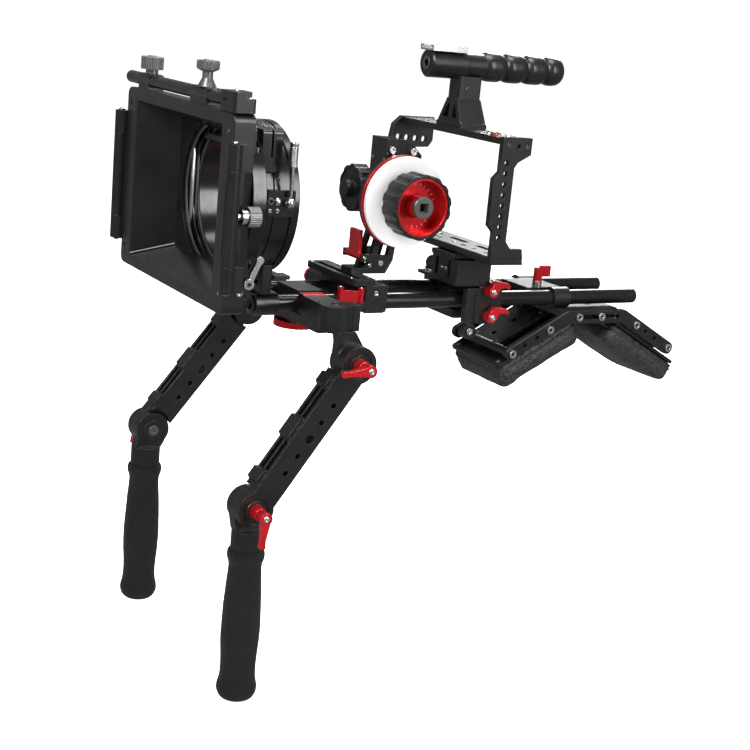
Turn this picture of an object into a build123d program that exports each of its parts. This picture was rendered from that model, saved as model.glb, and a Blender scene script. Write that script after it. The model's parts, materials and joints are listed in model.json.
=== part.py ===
from build123d import *
import os
from math import sin, cos, tan, radians, degrees, atan2, pi, sqrt

# Shoulder camera rig: two 15 mm rods carry a matte box, a follow focus, a
# camera cage on a quick-release base, a pair of jointed handles and a
# shoulder support.  Everything is drawn about the rod pair (X across the rig,
# -Y to the front, Z up, rod axes at Z = 0) and written out so that the origin
# is the mouth of the tripod thread in the underside of the base.

os.makedirs("parts", exist_ok=True)

# ---- driving dimensions (mm) ----------------------------------------------
rod_r = 7.5            # 15 mm rods
rod_x = 30.0           # half the 60 mm rod spacing
rod_front = -152.0
rod_rear = 280.0
bore_r = 7.52          # clamp bore on a rod
thread_y = 88.0        # tripod thread, from the rod datum
thread_z = -20.0

hood_w = 236.7         # matte box front, outer width
hood_h = 161.5         # and height
hood_z = 90.95         # its centre height
hood_y = -218.2        # front plane
hood_in_w = 194.0      # clear opening of the front frame
hood_in_h = 144.5
lens_z = 91.0          # optical axis
stage_r = 80.0         # round filter stage
ring_r = 68.0          # lens ring stack
aperture_r = 63.5

arm_len = 150.9        # rosette to rosette
arm_ang = 54.5         # arm direction, degrees below straight ahead
arm_w = 24.6           # arm face width
arm_out = 124.5        # outer face of the arm
arm_in = 103.5         # inner face of the arm
lap = 112.0            # plane where the two rosette halves meet
pivot_y, pivot_z = -89.7, -34.7
rosette_r = 16.4
grip_x = 107.0
grip_y = -175.5

wheel_y, wheel_z = -5.0, 92.0      # hand wheel axis
gear_x, gear_z = 0.0, 100.0        # drive gear axis
disc_r = 41.6

cage_l, cage_r = 98.0, -83.0       # outer faces of the cage sides
cage_f = 51.0
cage_top_z = 160.0
cage_floor = 53.0

handle_z = 216.5                   # top handle axis
bar_x = 50.0                       # outer face of the shoulder side bars

arm_drop = 2.85        # the right arm reaches this many degrees further forward
pivot_axis = Axis((0, pivot_y, pivot_z), (1, 0, 0))
wrist_y = pivot_y - arm_len * cos(radians(arm_ang))
wrist_z = pivot_z - arm_len * sin(radians(arm_ang))
wrist_y_right = pivot_y - arm_len * cos(radians(arm_ang - arm_drop))
wrist_z_right = pivot_z - arm_len * sin(radians(arm_ang - arm_drop))
to_thread = Location((0, -thread_y, -thread_z))


def at_y(y):
    """Plane across the rig at Y = y: local x is X, local y is Z, facing -Y."""
    return Plane.XZ.offset(-y)


def at_x(x):
    """Side plane at X = x: local x is Y, local y is Z, facing +X."""
    return Plane.YZ.offset(x)


def at_z(z):
    """Level plane at height z."""
    return Plane.XY.offset(z)


def slab(x0, x1, y0, y1, z0, z1, mode=Mode.ADD):
    """A block between two corners."""
    with Locations(((x0 + x1) / 2, (y0 + y1) / 2, (z0 + z1) / 2)):
        Box(x1 - x0, y1 - y0, z1 - z0, mode=mode)


def rod_along(axis, x, y, z, r, length, mode=Mode.ADD):
    """A round bar that starts at (x, y, z) and runs along +axis."""
    turn = {"X": (0, 90, 0), "Y": (-90, 0, 0), "Z": (0, 0, 0)}[axis]
    with Locations(Location((x, y, z), turn)):
        Cylinder(r, length, align=(Align.CENTER, Align.CENTER, Align.MIN), mode=mode)


def finish(body, name):
    """Label a piece and write it in the tripod-thread frame."""
    body.part.label = name
    piece = body.part.moved(to_thread)
    piece.label = name
    export_step(piece, "parts/" + name + ".step")


# ============================ rods ==========================================
with BuildPart() as rods:
    with BuildSketch(at_y(rod_rear)):
        with Locations((-rod_x, 0), (rod_x, 0)):
            Circle(rod_r)
    extrude(amount=rod_rear - rod_front)
    fillet(rods.edges().filter_by(GeomType.CIRCLE).group_by(Axis.Y)[-1], 2.6)
    chamfer(rods.edges().filter_by(GeomType.CIRCLE).group_by(Axis.Y)[0], 0.8)
    with BuildSketch(at_y(rod_front + 15)):
        with Locations((-rod_x, 0), (rod_x, 0)):
            Circle(5.2)
    extrude(amount=16, mode=Mode.SUBTRACT)
finish(rods, "rods")

# ============================ matte box =====================================
# front frame of the hood
with BuildPart() as hood_frame:
    with BuildSketch(at_y(hood_y + 8.6)):
        with Locations((0, hood_z)):
            RectangleRounded(hood_w, hood_h, 7)
            RectangleRounded(hood_in_w, hood_in_h, 3, mode=Mode.SUBTRACT)
        with Locations((-109, hood_z + 66), (-109, hood_z - 64), (109, hood_z + 66), (109, hood_z - 64)):
            Circle(2.2, mode=Mode.SUBTRACT)
    extrude(amount=8.6)
    chamfer(hood_frame.edges().group_by(Axis.Y)[0].filter_by(lambda e: e.length > 20), 0.8)

# second frame behind it, with side pockets for the thumb screw
with BuildPart() as filter_frame:
    with BuildSketch(at_y(hood_y + 18.5)):
        with Locations((0, hood_z)):
            RectangleRounded(hood_w, hood_h, 7)
            RectangleRounded(hood_in_w, hood_in_h, 3, mode=Mode.SUBTRACT)
        with Locations((-109, hood_z + 66), (-109, hood_z - 64), (109, hood_z + 66), (109, hood_z - 64)):
            Circle(2.2, mode=Mode.SUBTRACT)
        with Locations((111.5, 84), (-111.5, 84)):
            Rectangle(15.2, 84, mode=Mode.SUBTRACT)
    extrude(amount=10.1)

# tapered hood wall between the front frame and the filter stage
with BuildPart() as hood_funnel:
    with BuildSketch(at_y(hood_y + 0.2)):
        with Locations((0, hood_z)):
            RectangleRounded(hood_in_w + 0.6, hood_in_h + 0.6, 3)
    with BuildSketch(at_y(-180.1)):
        with Locations((0, hood_z)):
            RectangleRounded(153, 118, 3)
    loft()
    with BuildSketch(at_y(hood_y + 0.2)):
        with Locations((0, hood_z)):
            RectangleRounded(hood_in_w - 4.2, hood_in_h - 4.2, 2.4)
    with BuildSketch(at_y(-180.1)):
        with Locations((0, hood_z)):
            RectangleRounded(149, 114, 2.4)
    loft(mode=Mode.SUBTRACT)
# back wall of the hood with the round light opening
with BuildPart() as hood_back:
    with BuildSketch(at_y(-180.1)):
        with Locations((0, hood_z)):
            RectangleRounded(152, 117, 3)
            Circle(66, mode=Mode.SUBTRACT)
    extrude(amount=2.0)
# hood: the two frames, the tapered wall and the back wall are one piece
with BuildPart() as matte_hood:
    add(hood_frame.part)
    add(filter_frame.part)
    add(hood_funnel.part)
    add(hood_back.part)
finish(matte_hood, "matte_hood")

# round filter stage with two tray slots open at the top
with BuildPart() as filter_stage:
    with BuildSketch(at_y(-166.9)):
        with Locations((0, lens_z)):
            Circle(stage_r)
            Circle(aperture_r, mode=Mode.SUBTRACT)
    extrude(amount=13.1)
    slab(-66.2, 66.2, -177.5, -173.1, lens_z - 66, lens_z + 90, mode=Mode.SUBTRACT)
    slab(-66.2, 66.2, -171.6, -169.0, lens_z - 66, lens_z + 90, mode=Mode.SUBTRACT)
    chamfer(filter_stage.edges().filter_by(GeomType.CIRCLE).group_by(Axis.Y)[0].filter_by(lambda e: e.radius > 70), 1.2)

# filter trays: square frames with a finger tab, one thick and one thin
with BuildPart() as filter_tray:
    with BuildSketch(at_y(-173.25)):
        with Locations((0, lens_z)):
            RectangleRounded(131.6, 131.6, 3)
            RectangleRounded(117, 117, 3, mode=Mode.SUBTRACT)
        with Locations((0, lens_z + 69)):
            RectangleRounded(40, 12, 3)
    extrude(amount=4.1)
finish(filter_tray, "filter_tray")

# fixed lens ring with turned grooves
with BuildPart() as lens_ring:
    with BuildSketch(at_y(-146.0)):
        with Locations((0, lens_z)):
            Circle(ring_r)
            Circle(60, mode=Mode.SUBTRACT)
    extrude(amount=21.2)
    with BuildSketch(at_y(-161.0)):
        with Locations((0, lens_z)):
            Circle(ring_r + 1)
            Circle(ring_r - 1.6, mode=Mode.SUBTRACT)
    extrude(amount=1.4, mode=Mode.SUBTRACT)
    with BuildSketch(at_y(-153.6)):
        with Locations((0, lens_z)):
            Circle(ring_r + 1)
            Circle(ring_r - 1.6, mode=Mode.SUBTRACT)
    extrude(amount=1.4, mode=Mode.SUBTRACT)

# rear clamp ring that turns on the fixed ring, with a flanged lens bore
with BuildPart() as rear_ring:
    with BuildSketch(at_y(-129.0)):
        with Locations((0, lens_z)):
            Circle(ring_r - 1)
            Circle(57, mode=Mode.SUBTRACT)
    extrude(amount=16.9)
    with BuildSketch(at_y(-136.5)):
        with Locations((0, lens_z)):
            Circle(ring_r + 1)
            Circle(ring_r - 3.2, mode=Mode.SUBTRACT)
    extrude(amount=2.2, mode=Mode.SUBTRACT)
    with BuildSketch(at_y(-140.0)):
        with Locations((0, lens_z)):
            Circle(60)
    extrude(amount=5.9, mode=Mode.SUBTRACT)
    chamfer(rear_ring.edges().filter_by(GeomType.CIRCLE).group_by(Axis.Y)[-1], 1.0)
finish(rear_ring, "rear_ring")


# swing-clamp block on the upper left of the rings
with BuildPart() as ring_clamp_block:
    slab(44, 64, -166.6, -148, 120, 155)
    fillet(ring_clamp_block.edges().filter_by(Axis.Y).group_by(Axis.Z)[-1], 3)
    slab(40, 70, -158.4, -156.6, 132, 160, mode=Mode.SUBTRACT)
    rod_along("Y", 0, -170, lens_z, ring_r - 2.5, 30, mode=Mode.SUBTRACT)

# pad on the left flank of the ring for the lock lever and plunger
with BuildPart() as ring_lock_pad:
    slab(60, 73, -163, -146.3, 84, 106)
    fillet(ring_lock_pad.edges().filter_by(Axis.X).group_by(Axis.X)[-1], 3)
    rod_along("Y", 0, -170, lens_z, ring_r - 2.5, 60, mode=Mode.SUBTRACT)
    slab(68.2, 73, -147, -137, 84, 106)
# filter stage, fixed ring, clamp block and lever pad
with BuildPart() as lens_stage:
    add(filter_stage.part)
    add(lens_ring.part)
    add(ring_clamp_block.part)
    add(ring_lock_pad.part)
finish(lens_stage, "lens_stage")

# long ball-ended lever that locks the rear ring
with BuildPart() as ring_lever:
    rod_along("X", 73.15, -144, 96, 3.0, 3)
    with Locations((77.5, -144, 96)):
        Sphere(4.4)
    rod_along("Z", 77.5, -144, 99, 1.6, 28)
    rod_along("Z", 77.5, -144, 126, 3.7, 20)
    fillet(ring_lever.edges().filter_by(GeomType.CIRCLE).group_by(Axis.Z)[-1], 1.2)
    slab(70, 73.15, -150, -138, 90, 102, mode=Mode.SUBTRACT)
finish(ring_lever, "ring_lever")


# left and right hinge knuckles for side flags (two on each side)
with BuildPart() as flag_hinge_blocks:
    for s in (-1, 1):
        for z0 in (31.0, 128.0):
            with BuildSketch(at_z(z0)):
                with Locations((s * 127, -220)):
                    Circle(6)
                with Locations((s * 123.2, -213.5)):
                    Rectangle(9.4, 15)
                with Locations((s * 120.9, -215)):
                    Rectangle(4.8, 12)
                with Locations((s * 127, -220)):
                    Circle(3.1, mode=Mode.SUBTRACT)
            extrude(amount=21)
finish(flag_hinge_blocks, "flag_hinge_blocks")

# hinge pins: a thick middle carrying the flag, thin ends in the knuckles
with BuildPart() as flag_pin_left:
    rod_along("Z", 127, -220, 52.15, 6, 75.7)
    rod_along("Z", 127, -220, 30.0, 3.02, 120)
    slab(126.0, 128.0, -228, -222.5, 60, 120, mode=Mode.SUBTRACT)
finish(flag_pin_left, "flag_pin_left")
with BuildPart() as flag_pin_right:
    mirror(flag_pin_left.part, about=Plane.YZ)
finish(flag_pin_right, "flag_pin_right")

# round bar over the hood that takes a top flag
with BuildPart() as flag_bar:
    rod_along("X", -128, -212, 180, 5.5, 218)
    chamfer(flag_bar.edges().filter_by(GeomType.CIRCLE), 1)
finish(flag_bar, "flag_bar")

# saddles that hold the bar on the hood frames
with BuildPart() as flag_bar_saddles:
    for xs, w in ((-83, 24), (42, 34)):
        slab(xs - w / 2, xs + w / 2, -217.5, -203, 171.8, 186)
    fillet(flag_bar_saddles.edges().filter_by(Axis.X).group_by(Axis.Z)[-1], 3)
    rod_along("X", -130, -212, 180, 5.52, 220, mode=Mode.SUBTRACT)
    for xs in (-78, 46):
        rod_along("Z", xs, -207.2, 176, 0.9, 12, mode=Mode.SUBTRACT)

# block at the left end of the bar, split and pinched by a screw
with BuildPart() as bar_end_clamp:
    slab(89.8, 118, -219.5, -199.8, 171.8, 188)
    fillet(bar_end_clamp.edges().filter_by(Axis.Z), 2.5)
    rod_along("X", 80, -212, 180, 5.52, 30, mode=Mode.SUBTRACT)
    slab(108, 120, -212, -196, 183, 190, mode=Mode.SUBTRACT)
    slab(92, 104, -221, -216.5, 180.2, 181.4, mode=Mode.SUBTRACT)
# two saddles and the end clamp of the flag bar
with BuildPart() as flag_bar_mounts:
    add(flag_bar_saddles.part)
    add(bar_end_clamp.part)
finish(flag_bar_mounts, "flag_bar_mounts")

# knurled knobs on the saddles
with BuildPart() as flag_knob_right:
    rod_along("Z", -78, -212, 186.1, 5.5, 4)
    with BuildSketch(at_z(190.1)):
        with Locations((-78, -212)):
            Circle(10)
            with PolarLocations(10.3, 30):
                Circle(0.75, mode=Mode.SUBTRACT)
    extrude(amount=11)
    chamfer(flag_knob_right.faces().sort_by(Axis.Z)[-1].edges(), 0.4)
finish(flag_knob_right, "flag_knob_right")
with BuildPart() as flag_knob_left:
    with BuildSketch(Plane.XZ.offset(212)):
        with BuildLine():
            Polyline((46, 186.1), (54, 186.1), (50.4, 193), (50.4, 198), (55, 200), (55, 207), (46, 207), close=True)
        make_face()
    revolve(axis=Axis((46, -212, 0), (0, 0, 1)))
    with Locations((46, -212, 207)):
        Hole(3, depth=5)
finish(flag_knob_left, "flag_knob_left")

# knurled thumb screw in the left pocket
with BuildPart() as side_thumbscrew:
    rod_along("Y", 113, -209.3, 90, 2.6, 5)
    rod_along("Y", 113, -205, 90, 6.0, 5.6)
    with BuildSketch(at_y(-189.5)):
        with Locations((113, 90)):
            Circle(8.2)
            with PolarLocations(8.5, 28):
                Circle(0.65, mode=Mode.SUBTRACT)
    extrude(amount=10.2)
finish(side_thumbscrew, "side_thumbscrew")

# lower lock lever and its pivot screw on the left side of the frames
with BuildPart() as hood_lever:
    rod_along("X", 123.4, -200.6, 38, 4.4, 5)
    with BuildSketch(Plane(origin=(125.1, -200.6, 38), x_dir=(0, cos(radians(66)), sin(radians(66))), z_dir=(1, 0, 0))):
        with Locations((11, 0)):
            Rectangle(20, 4.4)
        with Locations((21, 0)):
            Circle(3.2)
    extrude(amount=3.2)
    fillet(hood_lever.edges().filter_by(Axis.X), 0.6)
finish(hood_lever, "hood_lever")

# foot that clamps the matte box on the rods
with BuildPart() as matte_foot:
    with BuildSketch(at_y(-128)):
        with Locations((-rod_x, 0), (rod_x, 0)):
            Circle(10.6)
        with Locations((0, 7.4)):
            Rectangle(70, 6.4)
        with Locations((-rod_x, 0), (rod_x, 0)):
            Circle(bore_r, mode=Mode.SUBTRACT)
    extrude(amount=22)
    fillet(matte_foot.faces().sort_by(Axis.Z)[-1].edges().filter_by(Axis.X), 1.5)

# upright bracket between the foot and the rings
with BuildPart() as matte_bracket:
    slab(-40, 40, -147.5, -137, 10.2, 41)
    fillet(matte_bracket.edges().filter_by(Axis.Z), 1.5)
    rod_along("Y", 0, -170, lens_z, ring_r + 0.05, 60, mode=Mode.SUBTRACT)
    with BuildSketch(at_y(-136)):
        with Locations((-26, 20), (26, 20)):
            SlotOverall(16, 5)
    extrude(amount=14, mode=Mode.SUBTRACT)
    slab(28, 43, -136.95, -121, 23.6, 27.2)
    slab(28, 40, -138, -136.5, 23.6, 27.2)
# rod foot with its upright bracket
with BuildPart() as matte_support:
    add(matte_foot.part)
    add(matte_bracket.part)
finish(matte_support, "matte_support")

# ============================ handle bracket ================================
# low cross bar under the rods, a centre block between them, ears outside
with BuildPart() as handle_bracket:
    slab(-77, 77, -108, -84, -17, -8.2)
    slab(-21.5, 21.5, -101, -75, -17, 9.1)
    slab(44.5, 77, -108, -84, -17, 9.6)
    slab(-77, -44.5, -108, -84, -17, 9.6)
    slab(-22, 22, -104, -74, -21.9, -15)
    fillet(handle_bracket.edges().filter_by(Axis.Z).filter_by(lambda e: e.length > 20), 3)
    chamfer(handle_bracket.faces().sort_by(Axis.Z)[0].edges(), 0.8)
    rod_along("Z", 0, -90.5, -24, 4.05, 20, mode=Mode.SUBTRACT)
finish(handle_bracket, "handle_bracket")

# red jaws that press on the outside of each rod
with BuildPart() as rod_jaws:
    slab(34, 44.45, -107, -85, -8.1, 10.2)
    slab(-44.45, -34, -107, -85, -8.1, 10.2)
    for s in (-1, 1):
        rod_along("Y", s * rod_x, -120, 0, bore_r, 50, mode=Mode.SUBTRACT)
    fillet(rod_jaws.edges().filter_by(Axis.Y).group_by(Axis.Z)[-1], 1)
finish(rod_jaws, "rod_jaws")

# scalloped tightening wheel under the centre block, with its stud
with BuildPart() as clamp_wheel:
    with BuildSketch(at_z(-28.2)):
        with Locations((0, -90.5)):
            Circle(20)
            with PolarLocations(21.3, 24):
                Circle(1.9, mode=Mode.SUBTRACT)
    extrude(amount=6.2)
    chamfer(clamp_wheel.faces().sort_by(Axis.Z)[0].edges(), 0.5)
    rod_along("Z", 0, -90.5, -22.5, 4.0, 17)
finish(clamp_wheel, "clamp_wheel")

# socket bodies at the ends of the bracket, each with a neck and a rosette half
with BuildPart() as handle_clamps:
    with BuildSketch(at_z(-10.5)):
        with Locations((93.2, -100)):
            Circle(15.4)
        with Locations((82, -99)):
            Rectangle(9.8, 20)
        with Locations((93, -83)):
            Rectangle(14, 7)
    extrude(amount=23)
    slab(92.6, 93.6, -90, -78, -12, 14, mode=Mode.SUBTRACT)
    with BuildSketch(at_x(96)):
        with BuildLine():
            Polyline((-104, -9), (-87, -9), (-79.5, -24), (-100, -30), close=True)
        make_face()
    extrude(amount=12)
    with BuildSketch(at_x(100)):
        with Locations((pivot_y, pivot_z)):
            Circle(rosette_r)
    extrude(amount=lap - 0.05 - 100)
    with BuildSketch(at_x(100)):
        with BuildLine():
            Polyline((-104, -9), (-87, -9), (pivot_y + 14, pivot_z + 8), (pivot_y - 15, pivot_z + 6), close=True)
        make_face()
    extrude(amount=8.5)
    chamfer(handle_clamps.faces().sort_by(Axis.X)[-1].edges(), 0.5)
    rod_along("X", 98.2, pivot_y, pivot_z, 9.5, 3)
    with Locations((93, -100, 12.5)):
        CounterBoreHole(2.6, 4.6, 4, depth=14)
    mirror(handle_clamps.part, about=Plane.YZ)
finish(handle_clamps, "handle_clamps")

# ============================ handle arms ===================================
along = (0, -cos(radians(arm_ang)), -sin(radians(arm_ang)))
arm_half = arm_w / 2
# local x runs down the arm, local y points to its front face, normal is +X
with BuildPart() as arm_left:
    # outer half with both rosette ends
    with BuildSketch(Plane(origin=(lap + 0.05, pivot_y, pivot_z), x_dir=along, z_dir=(1, 0, 0))):
        Circle(rosette_r)
        with Locations((arm_len, 0)):
            Circle(rosette_r)
        with Locations((arm_len / 2, 0)):
            Rectangle(arm_len - 14, arm_w)
    extrude(amount=arm_out - lap - 0.05)
    # inner half, cut back in an arc around each rosette
    with BuildSketch(Plane(origin=(arm_in, pivot_y, pivot_z), x_dir=along, z_dir=(1, 0, 0))):
        with Locations((arm_len / 2, 0)):
            Rectangle(arm_len, arm_w)
        Circle(rosette_r + 3.2, mode=Mode.SUBTRACT)
        with Locations((arm_len, 0)):
            Circle(rosette_r + 3.2, mode=Mode.SUBTRACT)
    extrude(amount=lap - arm_in + 0.2)
    # raised shoulders at the ends and the middle of the front face
    with BuildSketch(Plane(origin=(arm_in, pivot_y, pivot_z), x_dir=along, z_dir=(1, 0, 0))):
        for u0, u1 in ((21, 31), (66, 85), (120, 130)):
            with BuildLine():
                Polyline((u0 - 3, -arm_half + 2), (u0, -arm_half - 3.2), (u1, -arm_half - 3.2), (u1 + 3, -arm_half + 2), close=True)
            make_face()
    extrude(amount=arm_out - arm_in - 3)
    # two windows with a rib left along the middle
    with BuildSketch(Plane(origin=(arm_in + 3, pivot_y, pivot_z), x_dir=along, z_dir=(1, 0, 0))):
        with Locations((48.5, -arm_half), (102.5, -arm_half)):
            Rectangle(30, 15)
    extrude(amount=6, mode=Mode.SUBTRACT)
    with BuildSketch(Plane(origin=(arm_in + 11.5, pivot_y, pivot_z), x_dir=along, z_dir=(1, 0, 0))):
        with Locations((48.5, -arm_half), (102.5, -arm_half)):
            Rectangle(30, 15)
    extrude(amount=6, mode=Mode.SUBTRACT)
    # through holes along the face
    with BuildSketch(Plane(origin=(arm_in - 1, pivot_y, pivot_z), x_dir=along, z_dir=(1, 0, 0))):
        with Locations((40.8, 2), (58.4, 2), (93.2, 2), (110.8, 2)):
            Circle(2.5)
        with Locations((75.6, 2)):
            Circle(4.2)
        Circle(4.05)
        with Locations((arm_len, 0)):
            Circle(4.05)
    extrude(amount=arm_out - arm_in + 2, mode=Mode.SUBTRACT)
    # turned grooves in the outer faces of the rosettes
    with BuildSketch(Plane(origin=(arm_out - 1.6, pivot_y, pivot_z), x_dir=along, z_dir=(1, 0, 0))):
        with Locations((0, 0), (arm_len, 0)):
            Circle(12)
        with Locations((0, 0), (arm_len, 0)):
            Circle(9, mode=Mode.SUBTRACT)
    extrude(amount=3, mode=Mode.SUBTRACT)
    chamfer(arm_left.faces().sort_by(Axis.X)[-1].outer_wire().edges(), 0.6)
finish(arm_left, "arm_left")
arm_twin = mirror(arm_left.part, about=Plane.YZ).rotate(pivot_axis, -arm_drop)
with BuildPart() as arm_right:
    add(arm_twin)
finish(arm_right, "arm_right")


def ratchet_lever(y, z, turn):
    """Clamping lever with its hub on the arm face and its stud in the arm."""
    c, s = cos(radians(turn)), sin(radians(turn))
    with BuildPart() as lever:
        rod_along("X", lap + 0.6, y, z, 3.9, 14)
        with BuildSketch(Plane(origin=(arm_out + 0.1, y, z), z_dir=(1, 0, 0), x_dir=(0, c, s))):
            Circle(6.6)
        extrude(amount=9, taper=6)
        rod_along("X", arm_out + 8, y, z, 5.0, 13)
        with BuildSketch(Plane(origin=(arm_out + 15.5, y, z), z_dir=(1, 0, 0), x_dir=(0, c, s))):
            Circle(5.4)
            with BuildLine():
                Polyline((0, 4.6), (19, 2.0), (26, 2.5), (26, -2.5), (19, -2.0), (0, -4.6), close=True)
            make_face()
        extrude(amount=5.5)
    return lever


arm_lever_left = ratchet_lever(pivot_y, pivot_z, 184)
finish(arm_lever_left, "arm_lever_left")
wrist_lever_left = ratchet_lever(wrist_y, wrist_z, 266)
finish(wrist_lever_left, "wrist_lever_left")
with BuildPart() as arm_lever_right:
    mirror(arm_lever_left.part, about=Plane.YZ)
finish(arm_lever_right, "arm_lever_right")
wrist_twin = ratchet_lever(wrist_y_right, wrist_z_right, 266 - 2.85)
with BuildPart() as wrist_lever_right:
    mirror(wrist_twin.part, about=Plane.YZ)
finish(wrist_lever_right, "wrist_lever_right")

def grip_core(wy, wz, gy, top):
    """Rosette half, neck, collar and tube of a grip; top = upper end of the tube."""
    with BuildPart() as core:
        with BuildSketch(at_x(100)):
            with Locations((wy, wz)):
                Circle(rosette_r)
            with BuildLine():
                Polyline((wy - 14, wz - 8), (wy + 14, wz - 8), (gy + 13, top + 17), (gy - 13, top + 17), close=True)
            make_face()
        extrude(amount=lap - 0.05 - 100)
        with BuildSketch(at_z(top - 0.5)):
            with Locations((grip_x, gy)):
                Circle(14)
        extrude(amount=17.6)
        with BuildSketch(at_z(top + 16)):
            with Locations((grip_x - 1, gy)):
                RectangleRounded(11, 24, 3)
        extrude(amount=10, taper=8)
        with BuildSketch(at_z(top)):
            with Locations((grip_x, gy)):
                Circle(11)
                Circle(8, mode=Mode.SUBTRACT)
        extrude(amount=-134)
        rod_along("X", 98.2, wy, wz, 9.5, 3)
    return core


def grip_foam(gy, top):
    """Foam sleeve, closed at the bottom; top = its upper rim."""
    with BuildPart() as foam:
        with BuildSketch(Plane.XZ.offset(-gy)):
            with BuildLine():
                Polyline((grip_x + 11.1, top), (grip_x + 16.2, top), (grip_x + 17, top - 4.2), (grip_x + 16.4, top - 9), (grip_x + 14.6, top - 12))
                Spline((grip_x + 14.6, top - 12), (grip_x + 16.4, top - 42), (grip_x + 17.4, top - 75), (grip_x + 15.8, top - 106), (grip_x + 16.6, top - 122))
                Polyline((grip_x + 16.6, top - 122), (grip_x + 18.2, top - 127), (grip_x + 17.6, top - 133), (grip_x + 14.4, top - 138.4), (grip_x, top - 139.4), (grip_x, top - 133.8),
                         (grip_x + 11.1, top - 133.8), (grip_x + 11.1, top))
            make_face()
        revolve(axis=Axis((grip_x, gy, 0), (0, 0, 1)))
    return foam


foam_top = -197.1
foam_top_right = -188.2
grip_y_right = -187.0
grip_core_left = grip_core(wrist_y, wrist_z, grip_y, foam_top + 0.6)
finish(grip_core_left, "grip_core_left")
core_twin = grip_core(wrist_y_right, wrist_z_right, grip_y_right, foam_top_right + 0.6)
with BuildPart() as grip_core_right:
    mirror(core_twin.part, about=Plane.YZ)
finish(grip_core_right, "grip_core_right")
grip_foam_left = grip_foam(grip_y, foam_top)
finish(grip_foam_left, "grip_foam_left")
foam_twin = grip_foam(grip_y_right, foam_top_right)
with BuildPart() as grip_foam_right:
    mirror(foam_twin.part, about=Plane.YZ)
finish(grip_foam_right, "grip_foam_right")


# ============================ follow focus ==================================
# rail across the rods with a groove in its top
with BuildPart() as focus_rail:
    slab(-50, 44, -57, -34, 17, 23)
    chamfer(focus_rail.edges().filter_by(Axis.Z), 2)
    slab(-43, 38, -52, -46, 20.8, 24, mode=Mode.SUBTRACT)

# clamp block under the rail
with BuildPart() as focus_rod_block:
    slab(-44, 44, -44, -21, -8.8, 17.1)
    chamfer(focus_rod_block.faces().sort_by(Axis.Z)[0].edges(), 2.0)
    for s in (-1, 1):
        rod_along("Y", s * rod_x, -60, 0, bore_r, 60, mode=Mode.SUBTRACT)
    slab(-21, 21, -50, -15, -10, -2, mode=Mode.SUBTRACT)
    slab(38.8, 43.9, -52.6, -43.9, -3.6, 2.6)
    slab(43.8, 49.2, -52.6, -47.4, -3.6, 2.6)
    rod_along("Z", 46.4, -50, 2, 1.3, 9)
    rod_along("X", 40, -32, 9.6, 3.4, 6, mode=Mode.SUBTRACT)
    rod_along("X", -46, -34.5, 1.8, 3.04, 8, mode=Mode.SUBTRACT)
# rail and clamp block are one piece
with BuildPart() as focus_base:
    add(focus_rail.part)
    add(focus_rod_block.part)
finish(focus_base, "focus_base")


# clamp knob on the side of the block, and its collar
with BuildPart() as rail_knob:
    with BuildSketch(at_x(-78)):
        with Locations((-34.5, 1.8)):
            Circle(7.6)
            with PolarLocations(8.4, 12):
                Circle(1.3, mode=Mode.SUBTRACT)
    extrude(amount=33)
    rod_along("X", -45.1, -34.5, 1.8, 3.0, 6)
with BuildPart() as rail_knob_collar:
    rod_along("X", -82.5, -34.5, 1.8, 8.1, 4.6)
    chamfer(rail_knob_collar.edges().filter_by(GeomType.CIRCLE).group_by(Axis.X)[0], 0.8)
# knob with its collar
with BuildPart() as clamp_knob:
    add(rail_knob.part)
    add(rail_knob_collar.part)
finish(clamp_knob, "clamp_knob")

# cam lever that folds on an upright pin beside the clamp block
with BuildPart() as thumb_lever:
    rod_along("Z", 46.4, -50, 2.75, 2.8, 13.2)
    rod_along("Z", 40.6, -68.2, -1.8, 2.8, 18.2)
    with BuildSketch(at_z(0.6)):
        with BuildLine():
            Polyline((45.4, -49.4), (47.8, -50.2), (42.0, -68.8), (39.6, -68.0), close=True)
        make_face()
    extrude(amount=12.6)
    rod_along("Z", 46.4, -50, 0, 1.4, 17, mode=Mode.SUBTRACT)
    slab(43.2, 50, -54, -46, -1, 2.7, mode=Mode.SUBTRACT)
finish(thumb_lever, "thumb_lever")

# swing arm between the rail and the gearbox
with BuildPart() as focus_arm:
    with BuildSketch(at_x(-2)):
        with BuildLine():
            Polyline((-34, 23.05), (-14, 23.05), (-9, 36), (-2, 66), (-23, 66), (-29, 40), close=True)
        make_face()
        with BuildLine():
            Polyline((-24, 46), (-13, 46), (-9, 60), (-20, 60), close=True)
        make_face(mode=Mode.SUBTRACT)
        with Locations((-22, 33)):
            Circle(3.4, mode=Mode.SUBTRACT)
    extrude(amount=6)
    with BuildSketch(at_x(12)):
        with BuildLine():
            Polyline((-32, 23.05), (-10, 23.05), (-3, 36), (0, 66), (-21, 66), (-26, 40), close=True)
        make_face()
        with BuildLine():
            Polyline((-20, 40), (-9, 40), (-6, 58), (-17, 58), close=True)
        make_face(mode=Mode.SUBTRACT)
    extrude(amount=6)
    slab(-2, 18, -46, -16, 23.05, 28.4)
    rod_along("X", -3, -16, 33, 2.6, 22)

# red lever that locks the swing arm
with BuildPart() as arm_lock_lever:
    rod_along("X", -14, -34, 38, 3.4, 30)
    slab(-10, 9, -35.6, -32.2, 39, 62)
    fillet(arm_lock_lever.edges().filter_by(Axis.Y).group_by(Axis.Z)[-1], 1.5)
finish(arm_lock_lever, "arm_lock_lever")
with BuildPart() as arm_lock_clevis:
    slab(-17.4, -14.1, -37.2, -24.2, 34.5, 41.5)
    slab(16.1, 19.4, -37.2, -20, 34.5, 41.5)
    slab(-17.4, -1.5, -28.4, -25.0, 34.5, 41.5)
# swing arm with its lever clevis
with BuildPart() as swing_arm:
    add(focus_arm.part)
    add(arm_lock_clevis.part)
finish(swing_arm, "swing_arm")

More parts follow.
